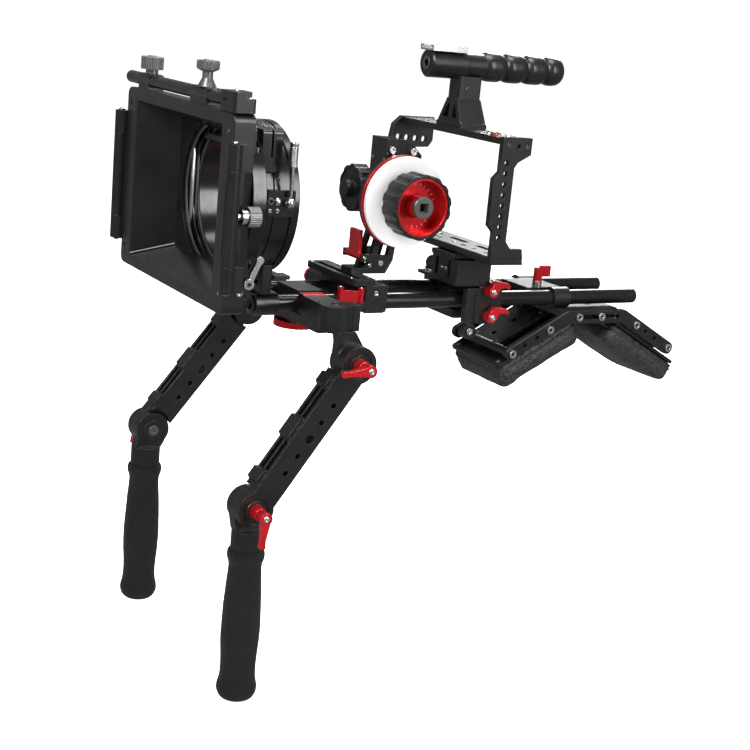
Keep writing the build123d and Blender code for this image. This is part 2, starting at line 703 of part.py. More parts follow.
# gearbox: rounded body with bosses for both shafts
with BuildPart() as focus_gearbox:
    with BuildSketch(at_x(-10)):
        with Locations((-8, 92)):
            RectangleRounded(32, 51.9, 8)
    extrude(amount=28)
    fillet(focus_gearbox.edges().group_by(Axis.X)[0], 3)
    rod_along("Y", gear_x, -26, gear_z, 9, 4)
    with BuildSketch(at_x(-10)):
        with BuildLine():
            Polyline((-20.5, 108), (8, 108), (17.2, 126), (17.2, 133.5), (3, 146.6), (-20.5, 147.6), close=True)
        make_face()
    extrude(amount=28)
    slab(-7, 15, -17, 6, 138, 150, mode=Mode.SUBTRACT)
    rod_along("X", 16, wheel_y, wheel_z, 16, 5.9)
    rod_along("Y", gear_x, -60, gear_z, 4.05, 58, mode=Mode.SUBTRACT)
    rod_along("X", 4, wheel_y, wheel_z, 5.05, 30, mode=Mode.SUBTRACT)

# index plate, red ring and white marking disc
with BuildPart() as index_plate:
    with BuildSketch(at_x(21.8)):
        with Locations((wheel_y, wheel_z)):
            Circle(42.6)
            Circle(5.2, mode=Mode.SUBTRACT)
    extrude(amount=4.2)
    chamfer(index_plate.edges().filter_by(GeomType.CIRCLE).group_by(Axis.X)[0].filter_by(lambda e: e.radius > 40), 1.5)
# gearbox with its index plate
with BuildPart() as focus_gearbox_body:
    add(focus_gearbox.part)
    add(index_plate.part)
finish(focus_gearbox_body, "focus_gearbox_body")
with BuildPart() as index_ring:
    with BuildSketch(at_x(26.2)):
        with Locations((wheel_y, wheel_z)):
            Circle(42.4)
            Circle(14, mode=Mode.SUBTRACT)
    extrude(amount=3.0)
finish(index_ring, "index_ring")
with BuildPart() as marking_disc:
    with BuildSketch(at_x(31.0)):
        with Locations((wheel_y, wheel_z)):
            Circle(disc_r)
            Circle(20.1, mode=Mode.SUBTRACT)
    extrude(amount=4.6)
    fillet(marking_disc.edges().filter_by(GeomType.CIRCLE).group_by(Axis.X)[-1], 0.8)
finish(marking_disc, "marking_disc")

# lobed hand wheel, open like a cup, with its shaft
with BuildPart() as hand_wheel:
    with BuildSketch(at_x(42)):
        with Locations((wheel_y, wheel_z)):
            Circle(29.6)
            with PolarLocations(35.9, 14):
                Circle(7.6, mode=Mode.SUBTRACT)
    extrude(amount=24)
    fillet(hand_wheel.faces().sort_by(Axis.X)[-1].edges(), 0.9)
    with BuildSketch(at_x(66.5)):
        with Locations((wheel_y, wheel_z)):
            Circle(26.4)
    extrude(amount=-20.5, mode=Mode.SUBTRACT)
    rod_along("X", 35.8, wheel_y, wheel_z, 24, 6.6)
    rod_along("X", 29.4, wheel_y, wheel_z, 19.9, 6.6)
    rod_along("X", 6, wheel_y, wheel_z, 5.0, 24)
    rod_along("X", 43, wheel_y, wheel_z, 5.2, 12, mode=Mode.SUBTRACT)
finish(hand_wheel, "hand_wheel")
# turned liner of the cup: floor, wall and hub
with BuildPart() as wheel_dish:
    with BuildSketch(at_x(46.05)):
        with Locations((wheel_y, wheel_z)):
            Circle(26.3)
            Circle(5.3, mode=Mode.SUBTRACT)
    extrude(amount=2.4)
    with BuildSketch(at_x(48)):
        with Locations((wheel_y, wheel_z)):
            Circle(26.3)
            Circle(25.1, mode=Mode.SUBTRACT)
    extrude(amount=16.6)
    with BuildSketch(at_x(48)):
        with Locations((wheel_y, wheel_z)):
            Circle(10.2)
            Circle(5.3, mode=Mode.SUBTRACT)
    extrude(amount=14.4)
    with BuildSketch(at_x(48.4)):
        with Locations((wheel_y, wheel_z)):
            Circle(23.4)
            Circle(22.6, mode=Mode.SUBTRACT)
    extrude(amount=0.5)
finish(wheel_dish, "wheel_dish")
with BuildPart() as wheel_socket:
    rod_along("X", 62.5, wheel_y, wheel_z, 10.3, 4.2)
    rod_along("X", 43.1, wheel_y, wheel_z, 5.15, 20)
    chamfer(wheel_socket.edges().filter_by(GeomType.CIRCLE).group_by(Axis.X)[-1], 0.8)
    with BuildSketch(at_x(67)):
        with Locations((wheel_y, wheel_z)):
            Rectangle(8.4, 8.4)
    extrude(amount=-4.0, mode=Mode.SUBTRACT)
    with BuildSketch(at_x(67)):
        with Locations((wheel_y, wheel_z)):
            Rectangle(7, 7)
    extrude(amount=-12, mode=Mode.SUBTRACT)
finish(wheel_socket, "wheel_socket")

# drive gear on the front shaft, and the lobed knob that holds it
with BuildPart() as drive_gear:
    with BuildSketch(at_y(-26.2)):
        with Locations((gear_x, gear_z)):
            Circle(17)
            with PolarLocations(17.4, 48):
                Circle(0.62, mode=Mode.SUBTRACT)
    extrude(amount=4.5)
    rod_along("Y", gear_x, -30.6, gear_z, 4.0, 16)
finish(drive_gear, "drive_gear")
with BuildPart() as gear_knob:
    with BuildSketch(at_y(-30.85)):
        with Locations((gear_x, gear_z)):
            Circle(21.8)
            with PolarLocations(27.6, 10):
                Circle(7.2, mode=Mode.SUBTRACT)
    extrude(amount=14.3)
    fillet(gear_knob.faces().sort_by(Axis.Y)[0].edges(), 1.2)
    with BuildSketch(at_y(-44.4)):
        with Locations((gear_x, gear_z)):
            Circle(18)
            Circle(10, mode=Mode.SUBTRACT)
    extrude(amount=3, mode=Mode.SUBTRACT)
    with BuildSketch(at_y(-45.0)):
        with Locations((gear_x, gear_z)):
            Circle(8.8)
    extrude(amount=6.8, taper=6)
finish(gear_knob, "gear_knob")

# ============================ camera base ===================================
# lower rod clamp with split flanks
with BuildPart() as base_clamp:
    slab(-50, 50, 76, 102, -8.7, 17)
    fillet(base_clamp.edges().filter_by(Axis.Y).group_by(Axis.Z)[-1], 2)
    slab(-21, 21, 70, 80, 4, 20, mode=Mode.SUBTRACT)
    for s in (-1, 1):
        rod_along("Y", s * rod_x, 60, 0, bore_r, 60, mode=Mode.SUBTRACT)
        rod_along("X", s * 44 - 6, 86.2, 12.2, 3.03, 12, mode=Mode.SUBTRACT)
    slab(37, 51, 88.6, 89.4, -7, 8, mode=Mode.SUBTRACT)
    slab(-51, -37, 88.6, 89.4, -7, 8, mode=Mode.SUBTRACT)

# blocks below the clamp that carry the posts
with BuildPart() as drop_blocks:
    slab(23.6, 50, 76.4, 102.5, -20, -8.75)
    slab(-50, -23.6, 76.4, 102.5, -20, -8.75)
    fillet(drop_blocks.edges().filter_by(Axis.X).group_by(Axis.Z)[0], 3.5)
    rod_along("X", 39.6, 87.5, -12.4, 3.03, 14, mode=Mode.SUBTRACT)

# upright channel on the near side with a barrel at its foot
with BuildPart() as side_posts:
    slab(43, 50, 62.6, 76.2, -18.8, 14.5)
    fillet(side_posts.edges().filter_by(Axis.X), 1.6)
    slab(48.2, 51, 66.4, 73.2, -19, 9, mode=Mode.SUBTRACT)
    slab(44, 48.6, 66, 73, -24, -17)
    rod_along("X", 43.4, 69.5, -27.2, 7.2, 6.6)
    rod_along("X", 48.6, 69.5, -27.2, 4.4, 3, mode=Mode.SUBTRACT)
# rod clamp with its post
with BuildPart() as rod_clamp_base:
    add(base_clamp.part)
    add(side_posts.part)
finish(rod_clamp_base, "rod_clamp_base")

# plate that takes the tripod, with a 3/8 inch thread
with BuildPart() as tripod_plate:
    slab(-24, 24, 66, 110, thread_z, -12)
    fillet(tripod_plate.edges().filter_by(Axis.Z), 3)
    slab(-20, 20, 77, 101, -12.5, -8.75)
    rod_along("Z", 0, thread_y, thread_z - 1, 4.2, 11, mode=Mode.SUBTRACT)
    for s in (-1, 1):
        rod_along("Z", s * 14, 72, thread_z - 1, 2.2, 12, mode=Mode.SUBTRACT)
# tripod plate and the blocks on both sides of it
with BuildPart() as tripod_base:
    add(drop_blocks.part)
    add(tripod_plate.part)
finish(tripod_base, "tripod_base")


def hooked_lever(y, z):
    """Short red lever with a round hub and a blade that hooks over at its tip."""
    with BuildPart() as lever:
        rod_along("X", 40.2, y, z, 3.0, 13)
        rod_along("X", 50.1, y, z, 5.0, 6)
        with BuildSketch(at_x(54)):
            with Locations((y, z)):
                Circle(5.0)
            with BuildLine():
                Polyline((y - 4.6, z + 2.0), (y - 1, z + 8.4), (y + 3, z + 10.6), (y + 16, z + 8.2), (y + 18.2, z + 5.4), (y + 17, z + 2.6),
                         (y + 13, z + 4.6), (y + 8, z + 4.0), (y + 5.0, z - 0.2), close=True)
            make_face()
        extrude(amount=6.0)
    return lever


rod_lever = hooked_lever(86.2, 12.2)
finish(rod_lever, "rod_lever")
post_lever = hooked_lever(87.5, -12.4)
finish(post_lever, "post_lever")

# riser between clamp and camera plate
with BuildPart() as riser_plate:
    slab(-20, 50, 48, 102, 17.05, 20.0)
    chamfer(riser_plate.edges().filter_by(Axis.Z), 2)
with BuildPart() as base_box:
    slab(5, 50, 48, 87, 19.95, 41)
    fillet(base_box.edges().filter_by(Axis.Z), 1.5)
    for x0 in (15, 37):
        with BuildSketch(at_z(22)):
            with BuildLine():
                Polyline((x0 - 3.5, 51), (x0 + 3.5, 51), (x0 + 2, 47), (x0 - 2, 47), close=True)
            make_face()
        extrude(amount=17, mode=Mode.SUBTRACT)
    slab(10, 45, 52, 83, 36, 42, mode=Mode.SUBTRACT)
    rod_along("X", 0, 56, 29, 3.05, 12, mode=Mode.SUBTRACT)
# riser plate and dovetail box
with BuildPart() as riser_box:
    add(riser_plate.part)
    add(base_box.part)
finish(riser_box, "riser_box")
with BuildPart() as base_knob:
    rod_along("X", -9.5, 56, 29, 7, 14.3)
    fillet(base_knob.edges().filter_by(GeomType.CIRCLE).group_by(Axis.X)[0], 3)
    rod_along("X", 4, 56, 29, 3.0, 6)
finish(base_knob, "base_knob")
with BuildPart() as camera_plate:
    slab(8, 47, 45, 90, 41.05, 46.1)
    chamfer(camera_plate.edges().filter_by(Axis.Y).group_by(Axis.Z)[0], 1.5)
    for yy in (58, 76):
        rod_along("Z", 27, yy, 40, 3.3, 10, mode=Mode.SUBTRACT)

# ============================ camera cage ===================================
with BuildPart() as cage_floor_plate:
    slab(cage_r + 6.05, cage_l - 6.05, cage_f, 90, 46.05, cage_floor)
    chamfer(cage_floor_plate.edges().group_by(Axis.Y)[0].filter_by(Axis.X), 1.5)
    with BuildSketch(at_z(45)):
        with Locations((-40, 76), (6, 76), (52, 76)):
            SlotOverall(30, 6.6)
        with Locations((-60, 63), (-18, 63), (74, 63), (34, 63)):
            Circle(3.2)
        with Locations((-8, 63), (52, 63)):
            Circle(2.4)
    extrude(amount=10, mode=Mode.SUBTRACT)
# cage floor with the quick-release plate under it
with BuildPart() as cage_floor:
    add(cage_floor_plate.part)
    add(camera_plate.part)
finish(cage_floor, "cage_floor")

with BuildPart() as cage_side_left:
    with BuildSketch(at_x(cage_l - 6)):
        with BuildLine():
            Polyline((51, 46), (51, 76), (45, 82), (45, 124), (51, 130), (51, 161), (82, 161), (82, 146),
                     (69, 139), (65.5, 134), (65.5, 68), (71, 61), (84, 61), (87, 46), close=True)
        make_face()
        with Locations(*[(57.2, 71.1 + 9.6 * k) for k in range(8)]):
            Circle(2.6, mode=Mode.SUBTRACT)
        with Locations((57, 154), (68, 153.5), (77, 153)):
            Circle(2.2, mode=Mode.SUBTRACT)
    extrude(amount=6)
    slab(cage_l - 0.8, cage_l + 1, 48, 86, 51.4, 52.2, mode=Mode.SUBTRACT)
    chamfer(cage_side_left.faces().sort_by(Axis.X)[-1].outer_wire().edges(), 0.7)
finish(cage_side_left, "cage_side_left")

with BuildPart() as cage_side_right:
    with BuildSketch(at_x(cage_r)):
        with BuildLine():
            Polyline((51, 46), (51, 128), (38.7, 140), (41, 153), (50, 161), (87.6, 161), (87.6, 138),
                     (83, 131.6), (69, 131), (65.5, 126), (65.5, 68), (71, 61), (84, 61), (87, 46), close=True)
        make_face()
        with Locations((47.8, 140.4), (57.6, 140), (67.5, 139.6), (77.3, 139.2)):
            Circle(3.4, mode=Mode.SUBTRACT)
        with Locations(*[(57.8, 71.1 + 9.6 * k) for k in range(6)]):
            Circle(2.6, mode=Mode.SUBTRACT)
    extrude(amount=6)
    chamfer(cage_side_right.faces().sort_by(Axis.X)[-1].outer_wire().edges(), 0.7)

with BuildPart() as cage_top_plate:
    slab(cage_r + 5.9, cage_l - 6.05, cage_f, 82, cage_top_z - 6, cage_top_z)
    fillet(cage_top_plate.edges().filter_by(Axis.Z), 1.2)
    with BuildSketch(at_z(cage_top_z - 8)):
        with Locations((-60, 62), (-48, 62), (-60, 73), (-48, 73), (36, 60), (46, 60), (56, 60), (82, 62), (82, 73)):
            Circle(2.6)
        with Locations((46, 73)):
            SlotOverall(34, 6.6)
        with Locations((-34, 67)):
            SlotOverall(6.6 * 2, 6.5)
    extrude(amount=10, mode=Mode.SUBTRACT)
# right side and top of the cage
with BuildPart() as cage_frame:
    add(cage_side_right.part)
    add(cage_top_plate.part)
finish(cage_frame, "cage_frame")


# ============================ top handle ====================================
with BuildPart() as handle_post:
    with BuildSketch(at_z(cage_top_z + 0.02)):
        with Locations((0, 68.6)):
            RectangleRounded(42, 31, 2)
    extrude(amount=4)
    with BuildSketch(at_z(cage_top_z + 4)):
        with Locations((0, 68.6)):
            Rectangle(39, 29)
    with BuildSketch(at_z(186)):
        with Locations((0, 68.6)):
            Rectangle(19, 25)
    loft()
    with BuildSketch(at_z(185.9)):
        with Locations((0, 68.6)):
            RectangleRounded(18.6, 24.8, 2)
    extrude(amount=20.5)
    with BuildSketch(Plane.XZ.offset(-40)):
        with BuildLine():
            Polyline((3, 168), (12.5, 168), (6, 181), (3, 181), close=True)
        make_face()
        with BuildLine():
            Polyline((-3, 168), (-12.5, 168), (-6, 181), (-3, 181), close=True)
        make_face()
    extrude(amount=-60, mode=Mode.SUBTRACT)
    rod_along("Y", 0, 50, handle_z, 10, 40, mode=Mode.SUBTRACT)
    with Locations((0, 68.6, 160)):
        Hole(3.3, depth=30)

with BuildPart() as handle_grip:
    with BuildSketch(Plane.YZ):
        with BuildLine():
            Polyline((24, handle_z), (24, handle_z + 11.5), (25.5, handle_z + 13), (63, handle_z + 13), (64.5, handle_z + 11.4),
                     (81, handle_z + 11.4), (84, handle_z + 11.4))
            Spline((84, handle_z + 11.4), (87, handle_z + 12.8), (95.5, handle_z + 13.6), (104, handle_z + 12.8), (107.4, handle_z + 10.6))
            Spline((107.4, handle_z + 10.6), (110.6, handle_z + 12.8), (119.3, handle_z + 13.6), (128, handle_z + 12.8), (131.2, handle_z + 10.6))
            Spline((131.2, handle_z + 10.6), (134.4, handle_z + 12.8), (143.1, handle_z + 13.6), (151.8, handle_z + 12.8), (155, handle_z + 10.6))
            Spline((155, handle_z + 10.6), (158.2, handle_z + 12.8), (165.2, handle_z + 13.6), (171.6, handle_z + 12.2), (174.8, handle_z + 8.5))
            Polyline((174.8, handle_z + 8.5), (176, handle_z + 5), (176, handle_z), (24, handle_z))
        make_face()
    revolve(axis=Axis((0, 0, handle_z), (0, 1, 0)))
    slab(-13, 13, 20, 62, handle_z + 11.3, handle_z + 16, mode=Mode.SUBTRACT)
    with BuildSketch(at_y(32)):
        with Locations((0, handle_z)):
            RegularPolygon(4.6, 6)
            with Locations((0, 0)):
                Circle(3.2)
    extrude(amount=12, mode=Mode.SUBTRACT)
# post and grip of the top handle
with BuildPart() as top_handle:
    add(handle_post.part)
    add(handle_grip.part)
finish(top_handle, "top_handle")

with BuildPart() as cold_shoe:
    slab(-11.5, 11.5, 23, 60, handle_z + 11.35, handle_z + 13.2)
    slab(-11.5, -9.0, 23, 60, handle_z + 13.1, handle_z + 16.6)
    slab(9.0, 11.5, 23, 60, handle_z + 13.1, handle_z + 16.6)
    slab(-11.5, -6.3, 23, 60, handle_z + 15.2, handle_z + 16.6)
    slab(6.3, 11.5, 23, 60, handle_z + 15.2, handle_z + 16.6)
    slab(-11.5, 11.5, 57.5, 60, handle_z + 13.1, handle_z + 16.6)
finish(cold_shoe, "cold_shoe")

# ============================ shoulder support ==============================
with BuildPart() as shoulder_clamp:
    with BuildSketch(at_y(193)):
        with Locations((-rod_x, 0), (rod_x, 0)):
            Circle(10.4)
        with Locations((0, -7.2)):
            Rectangle(60, 4.4)
        with Locations((-rod_x, 0), (rod_x, 0)):
            Circle(bore_r, mode=Mode.SUBTRACT)
    extrude(amount=19)
    slab(-22.6, 22.6, 152, 193, 3.4, 8.4)
    slab(22.4, 26, 174, 193, 3.4, 8.4)
    slab(-26, -22.4, 174, 193, 3.4, 8.4)
    slab(-8, 8, 176, 190, -9.9, 4)
    for s in (-1, 1):
        rod_along("Y", s * rod_x, 140, 0, bore_r, 70, mode=Mode.SUBTRACT)
    rod_along("Z", 8, 173, -5, 3.03, 20, mode=Mode.SUBTRACT)
with BuildPart() as shoulder_lever:
    rod_along("Z", 8, 173, 2, 3.0, 8)
    rod_along("Z", 8, 173, 8.5, 4.6, 4.0)
    slab(5, 11, 169.6, 176.4, 12, 25.5)
    slab(6.2, 9.8, 175, 187, 16.5, 27.5)
    fillet(shoulder_lever.edges().filter_by(Axis.X).filter_by(lambda e: e.center().Z > 25 and e.center().Y > 180), 1.6)
finish(shoulder_lever, "shoulder_lever")

# cross plates under the rods that carry the side bars
with BuildPart() as shoulder_plate:
    slab(-43.9, 43.9, 176, 252, -15.5, -9.6)
    fillet(shoulder_plate.edges().filter_by(Axis.Z), 4)
    with BuildSketch(at_z(-17)):
        with Locations((0, 228)):
            SlotOverall(50, 12)
    extrude(amount=10, mode=Mode.SUBTRACT)
# rod clamp with the cross plate
with BuildPart() as shoulder_mount:
    add(shoulder_clamp.part)
    add(shoulder_plate.part)
finish(shoulder_mount, "shoulder_mount")

bar_nodes = [(122, -51), (186, -16.2), (255, -16.8), (319, -52)]
with BuildPart() as shoulder_bar_left:
    with BuildSketch(at_x(bar_x - 6)):
        for (ya, za), (yb, zb) in zip(bar_nodes, bar_nodes[1:]):
            run = sqrt((yb - ya) ** 2 + (zb - za) ** 2)
            with Locations(Location(((ya + yb) / 2, (za + zb) / 2, 0), (0, 0, degrees(atan2(zb - za, yb - ya))))):
                Rectangle(run, 13.2)
        with Locations(*bar_nodes):
            Circle(6.6)
        # slots in the level limb, holes in the sloping limbs
        with Locations((212, -16.4), (238, -16.4)):
            SlotOverall(24, 5, mode=Mode.SUBTRACT)
        with Locations((136.5, -43.1), (150, -35.8), (286, -33.6), (299, -41)):
            Circle(2.6, mode=Mode.SUBTRACT)
    extrude(amount=6)
    chamfer(shoulder_bar_left.faces().sort_by(Axis.X)[-1].outer_wire().edges(), 0.7)
with BuildPart() as shoulder_bar_right:
    mirror(shoulder_bar_left.part, about=Plane.YZ)
# both side bars
with BuildPart() as shoulder_bars:
    add(shoulder_bar_left.part)
    add(shoulder_bar_right.part)
finish(shoulder_bars, "shoulder_bars")

# socket screws along both side bars
with BuildPart() as bar_screws:
    for s in (-1, 1):
        for yy, zz in ((122, -51), (163.9, -28.2), (197.9, -16.4), (225.6, -16.4), (272, -26.2), (318, -51.4)):
            with BuildSketch(at_x(s * (bar_x + 0.02))):
                with Locations((yy, zz)):
                    Circle(4.0)
                    RegularPolygon(1.9, 6, mode=Mode.SUBTRACT)
            extrude(amount=s * 2.2)
finish(bar_screws, "bar_screws")

# pads hang below the bars on stiff plates; each pad plane follows its limb
f_s, f_c = sin(atan2(34.8, 64.0)), cos(atan2(34.8, 64.0))
r_s, r_c = sin(atan2(-35.2, 64.0)), cos(atan2(-35.2, 64.0))
# local x runs back along the limb, local y is across the rig
front_plane = Plane(origin=(0, 122 + 7.0 * f_s, -51 - 7.0 * f_c), x_dir=(0, f_c, f_s), z_dir=(0, f_s, -f_c))
rear_plane = Plane(origin=(0, 319 + 7.0 * r_s, -52 - 7.0 * r_c), x_dir=(0, -r_c, -r_s), z_dir=(0, r_s, -r_c))

with BuildPart() as front_pad_plate:
    with BuildSketch(front_plane):
        with Locations((31, 0)):
            RectangleRounded(94, 86, 5)
    extrude(amount=3.0)
with BuildPart() as rear_pad_plate:
    with BuildSketch(rear_plane):
        with Locations((24, 0)):
            RectangleRounded(96, 86, 5)
    extrude(amount=3.0)

with BuildPart() as front_pad:
    with BuildSketch(front_plane.offset(3.05)):
        with Locations((33, 0)):
            RectangleRounded(103, 87.6, 8)
    extrude(amount=28)
    fillet(front_pad.faces().sort_by(Axis((0, 0, 0), (0, f_s, -f_c)))[-1].edges(), 6)
with BuildPart() as rear_pad:
    with BuildSketch(rear_plane.offset(3.05)):
        with Locations((23, 0)):
            RectangleRounded(105, 87.6, 8)
    extrude(amount=23)
    fillet(rear_pad.faces().sort_by(Axis((0, 0, 0), (0, r_s, -r_c)))[-1].edges(), 6)
# front and rear pad
with BuildPart() as shoulder_pads:
    add(front_pad.part)
    add(rear_pad.part)
finish(shoulder_pads, "shoulder_pads")

# stiffening plates on top of the pad plates, between the side bars
with BuildPart() as pad_risers:
    with BuildSketch(front_plane.offset(-10)):
        with Locations((34, 0)):
            RectangleRounded(70, 46, 3)
        with Locations((14, 0), (40, 0), (60, 0)):
            Circle(3.2, mode=Mode.SUBTRACT)
    extrude(amount=3.5)
    with BuildSketch(front_plane.offset(-6.6)):
        with Locations((14, 17), (14, -17), (54, 17), (54, -17)):
            Circle(4)
    extrude(amount=6.55)
    with BuildSketch(rear_plane.offset(-10)):
        with Locations((34, 0)):
            RectangleRounded(58, 46, 3)
        with Locations((18, 0), (40, 0)):
            Circle(3.2, mode=Mode.SUBTRACT)
    extrude(amount=3.5)
    with BuildSketch(rear_plane.offset(-6.6)):
        with Locations((14, 17), (14, -17), (54, 17), (54, -17)):
            Circle(4)
    extrude(amount=6.55)

# round spacers that tie the two side bars together
with BuildPart() as bar_spacers:
    for yy, zz in ((122, -51), (319, -52)):
        rod_along("X", -43.9, yy, zz, 4.5, 87.8)
# pad plates, stiffeners and tie rods
with BuildPart() as pad_plates:
    add(front_pad_plate.part)
    add(rear_pad_plate.part)
    add(pad_risers.part)
    add(bar_spacers.part)
    slab(-50, 50, 175, 256, -15.56, -9, mode=Mode.SUBTRACT)
finish(pad_plates, "pad_plates")
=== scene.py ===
import json
import math
import random

import bmesh
import bpy
from mathutils import Matrix, Vector, noise


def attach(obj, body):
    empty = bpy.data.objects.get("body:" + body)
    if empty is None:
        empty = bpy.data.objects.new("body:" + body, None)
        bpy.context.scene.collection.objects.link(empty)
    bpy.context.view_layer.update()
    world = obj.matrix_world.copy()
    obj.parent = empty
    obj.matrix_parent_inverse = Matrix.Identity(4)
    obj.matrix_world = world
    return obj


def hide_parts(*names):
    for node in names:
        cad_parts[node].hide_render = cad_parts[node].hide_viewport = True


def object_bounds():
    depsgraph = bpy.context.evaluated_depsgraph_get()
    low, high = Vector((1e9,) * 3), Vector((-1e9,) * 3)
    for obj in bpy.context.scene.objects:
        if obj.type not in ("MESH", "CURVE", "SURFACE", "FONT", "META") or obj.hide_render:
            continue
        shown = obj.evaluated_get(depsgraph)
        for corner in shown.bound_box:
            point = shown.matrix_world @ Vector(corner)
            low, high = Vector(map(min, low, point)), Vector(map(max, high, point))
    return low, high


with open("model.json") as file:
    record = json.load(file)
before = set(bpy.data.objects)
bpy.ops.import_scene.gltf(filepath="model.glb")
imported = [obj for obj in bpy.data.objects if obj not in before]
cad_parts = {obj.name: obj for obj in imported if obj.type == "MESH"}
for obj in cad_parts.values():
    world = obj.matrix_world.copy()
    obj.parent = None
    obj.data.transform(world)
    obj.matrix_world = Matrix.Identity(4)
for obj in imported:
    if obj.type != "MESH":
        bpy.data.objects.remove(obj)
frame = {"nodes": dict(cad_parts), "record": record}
cad_lo, cad_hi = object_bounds()
random.seed(7)
NODES = frame["nodes"]
MM = 0.001


def P(x, y, z):
    """A point given about the rod pair, in mm, to the frame in metres."""
    return Vector((x * MM, (y - 88.0) * MM, (z + 20.0) * MM))


# ----------------------------------------------------------------- materials
class Mat:
    """A node material under construction."""

    def __init__(self, name):
        self.m = bpy.data.materials.new(name)
        self.m.use_nodes = True
        self.t = self.m.node_tree
        self.t.nodes.clear()
        self.out = self.t.nodes.new("ShaderNodeOutputMaterial")
        self.b = self.t.nodes.new("ShaderNodeBsdfPrincipled")
        self.t.links.new(self.b.outputs[0], self.out.inputs[0])
        self.co = self.t.nodes.new("ShaderNodeTexCoord").outputs["Object"]

    def node(self, kind, **props):
        n = self.t.nodes.new(kind)
        for k, v in props.items():
            if k.startswith("i_"):
                n.inputs[k[2:].replace("_", " ")].default_value = v
            else:
                setattr(n, k, v)
        return n

    def link(self, a, b):
        self.t.links.new(a, b)

    def noise(self, scale, detail=3.0, rough=0.55, stretch=None):
        n = self.node("ShaderNodeTexNoise", i_Scale=scale, i_Detail=detail, i_Roughness=rough)
        src = self.co
        if stretch:
            mp = self.node("ShaderNodeMapping")
            mp.inputs["Scale"].default_value = stretch
            self.link(self.co, mp.inputs["Vector"])
            src = mp.outputs[0]
        self.link(src, n.inputs["Vector"])
        return n.outputs["Fac"]

    def voronoi(self, scale, feature="F1", rand=1.0):
        n = self.node("ShaderNodeTexVoronoi", feature=feature, i_Scale=scale, i_Randomness=rand)
        self.link(self.co, n.inputs["Vector"])
        return n.outputs["Distance"]

    def ramp(self, fac, stops):
        r = self.node("ShaderNodeValToRGB")
        e = r.color_ramp.elements
        while len(e) < len(stops):
            e.new(0.5)
        for el, (p, c) in zip(e, stops):
            el.position = p
            el.color = (*c, 1) if len(c) == 3 else c
        self.link(fac, r.inputs[0])
        return r.outputs[0]

    def range(self, fac, a, b, lo=0.0, hi=1.0):
        r = self.node("ShaderNodeMapRange")
        for k, v in zip(("From Min", "From Max", "To Min", "To Max"), (lo, hi, a, b)):
            r.inputs[k].default_value = v
        self.link(fac, r.inputs[0])
        return r.outputs[0]

    def mix(self, fac, a, b):
        n = self.node("ShaderNodeMix", data_type="RGBA")
        if isinstance(fac, float):
            n.inputs[0].default_value = fac
        else:
            self.link(fac, n.inputs[0])
        for idx, v in ((6, a), (7, b)):
            if isinstance(v, tuple):
                n.inputs[idx].default_value = (*v, 1)
            else:
                self.link(v, n.inputs[idx])
        return n.outputs[2]

    def math(self, op, a, b=None):
        n = self.node("ShaderNodeMath", operation=op)
        for i, v in enumerate((a, b)):
            if v is None:
                continue
            if isinstance(v, (int, float)):
                n.inputs[i].default_value = v
            else:
                self.link(v, n.inputs[i])
        return n.outputs[0]

    def bump(self, height, dist, strength=1.0, normal=None):
        n = self.node("ShaderNodeBump", i_Distance=dist, i_Strength=strength)
        self.link(height, n.inputs["Height"])
        if normal is not None:
            self.link(normal, n.inputs["Normal"])
        return n.outputs[0]

    def bevel(self, radius, samples=4):
        n = self.node("ShaderNodeBevel", samples=samples)
        n.inputs["Radius"].default_value = radius
        return n.outputs[0]

    def edge(self, bev, lo=0.02, hi=0.25):
        """0 on flat faces to 1 on sharp edges, from the rounded normal."""
        g = self.node("ShaderNodeNewGeometry")
        d = self.node("ShaderNodeVectorMath", operation="DOT_PRODUCT")
        self.link(bev, d.inputs[0])
        self.link(g.outputs["Normal"], d.inputs[1])
        inv = self.math("SUBTRACT", 1.0, d.outputs["Value"])
        return self.range(inv, 0.0, 1.0, lo, hi)

    def set(self, **kw):
        for k, v in kw.items():
            s = self.b.inputs[k.replace("_", " ")]
            if isinstance(v, (int, float)):
                s.default_value = v
            elif isinstance(v, tuple):
                s.default_value = (*v, 1) if len(v) == 3 else v
            else:
                self.link(v, s)
        return self.m


def metal(name, dark, light, edge, rough, metallic=0.55, grain=2200.0, depth=0.00003, turned=None, spec=0.5, radius=0.0004):
    """Blasted and anodised metal: fine grain, cloudy roughness, and edges lightened in noisy patches, a painted edge
    highlight that also stands for rubbed wear.
    """
    q = Mat(name)
    cloud = q.noise(38.0, 5.0, 0.6)
    fine = q.noise(grain, 2.0, 0.5)
    smudge = q.noise(140.0, 4.0, 0.65)
    bev = q.bevel(radius)
    # painted highlight: sharp edges found from the bevel normal, broken into patches by noise, are mixed toward the
    # lighter edge colour
    edge_highlight_mask = q.edge(bev)
    edge_highlight_and_wear = q.math("MULTIPLY", edge_highlight_mask, q.range(q.noise(420.0, 3.0, 0.7), 0.25, 1.0, 0.42, 0.62))
    base = q.ramp(cloud, [(0.3, dark), (0.7, light)])
    col = q.mix(q.math("MULTIPLY", edge_highlight_and_wear, 0.55), base, edge)
    r = q.math("ADD", q.range(smudge, rough - 0.07, rough + 0.09), q.math("MULTIPLY", q.range(fine, -0.03, 0.03), 1.0))
    h = fine
    if turned:
        h = q.math("ADD", fine, q.math("MULTIPLY", q.noise(60.0, 1.0, 0.4, turned), 1.6))
    nrm = q.bump(h, depth, 0.6, bev)
    return q.set(Base_Color=col, Roughness=r, Metallic=metallic, Normal=nrm, Specular_IOR_Level=spec)
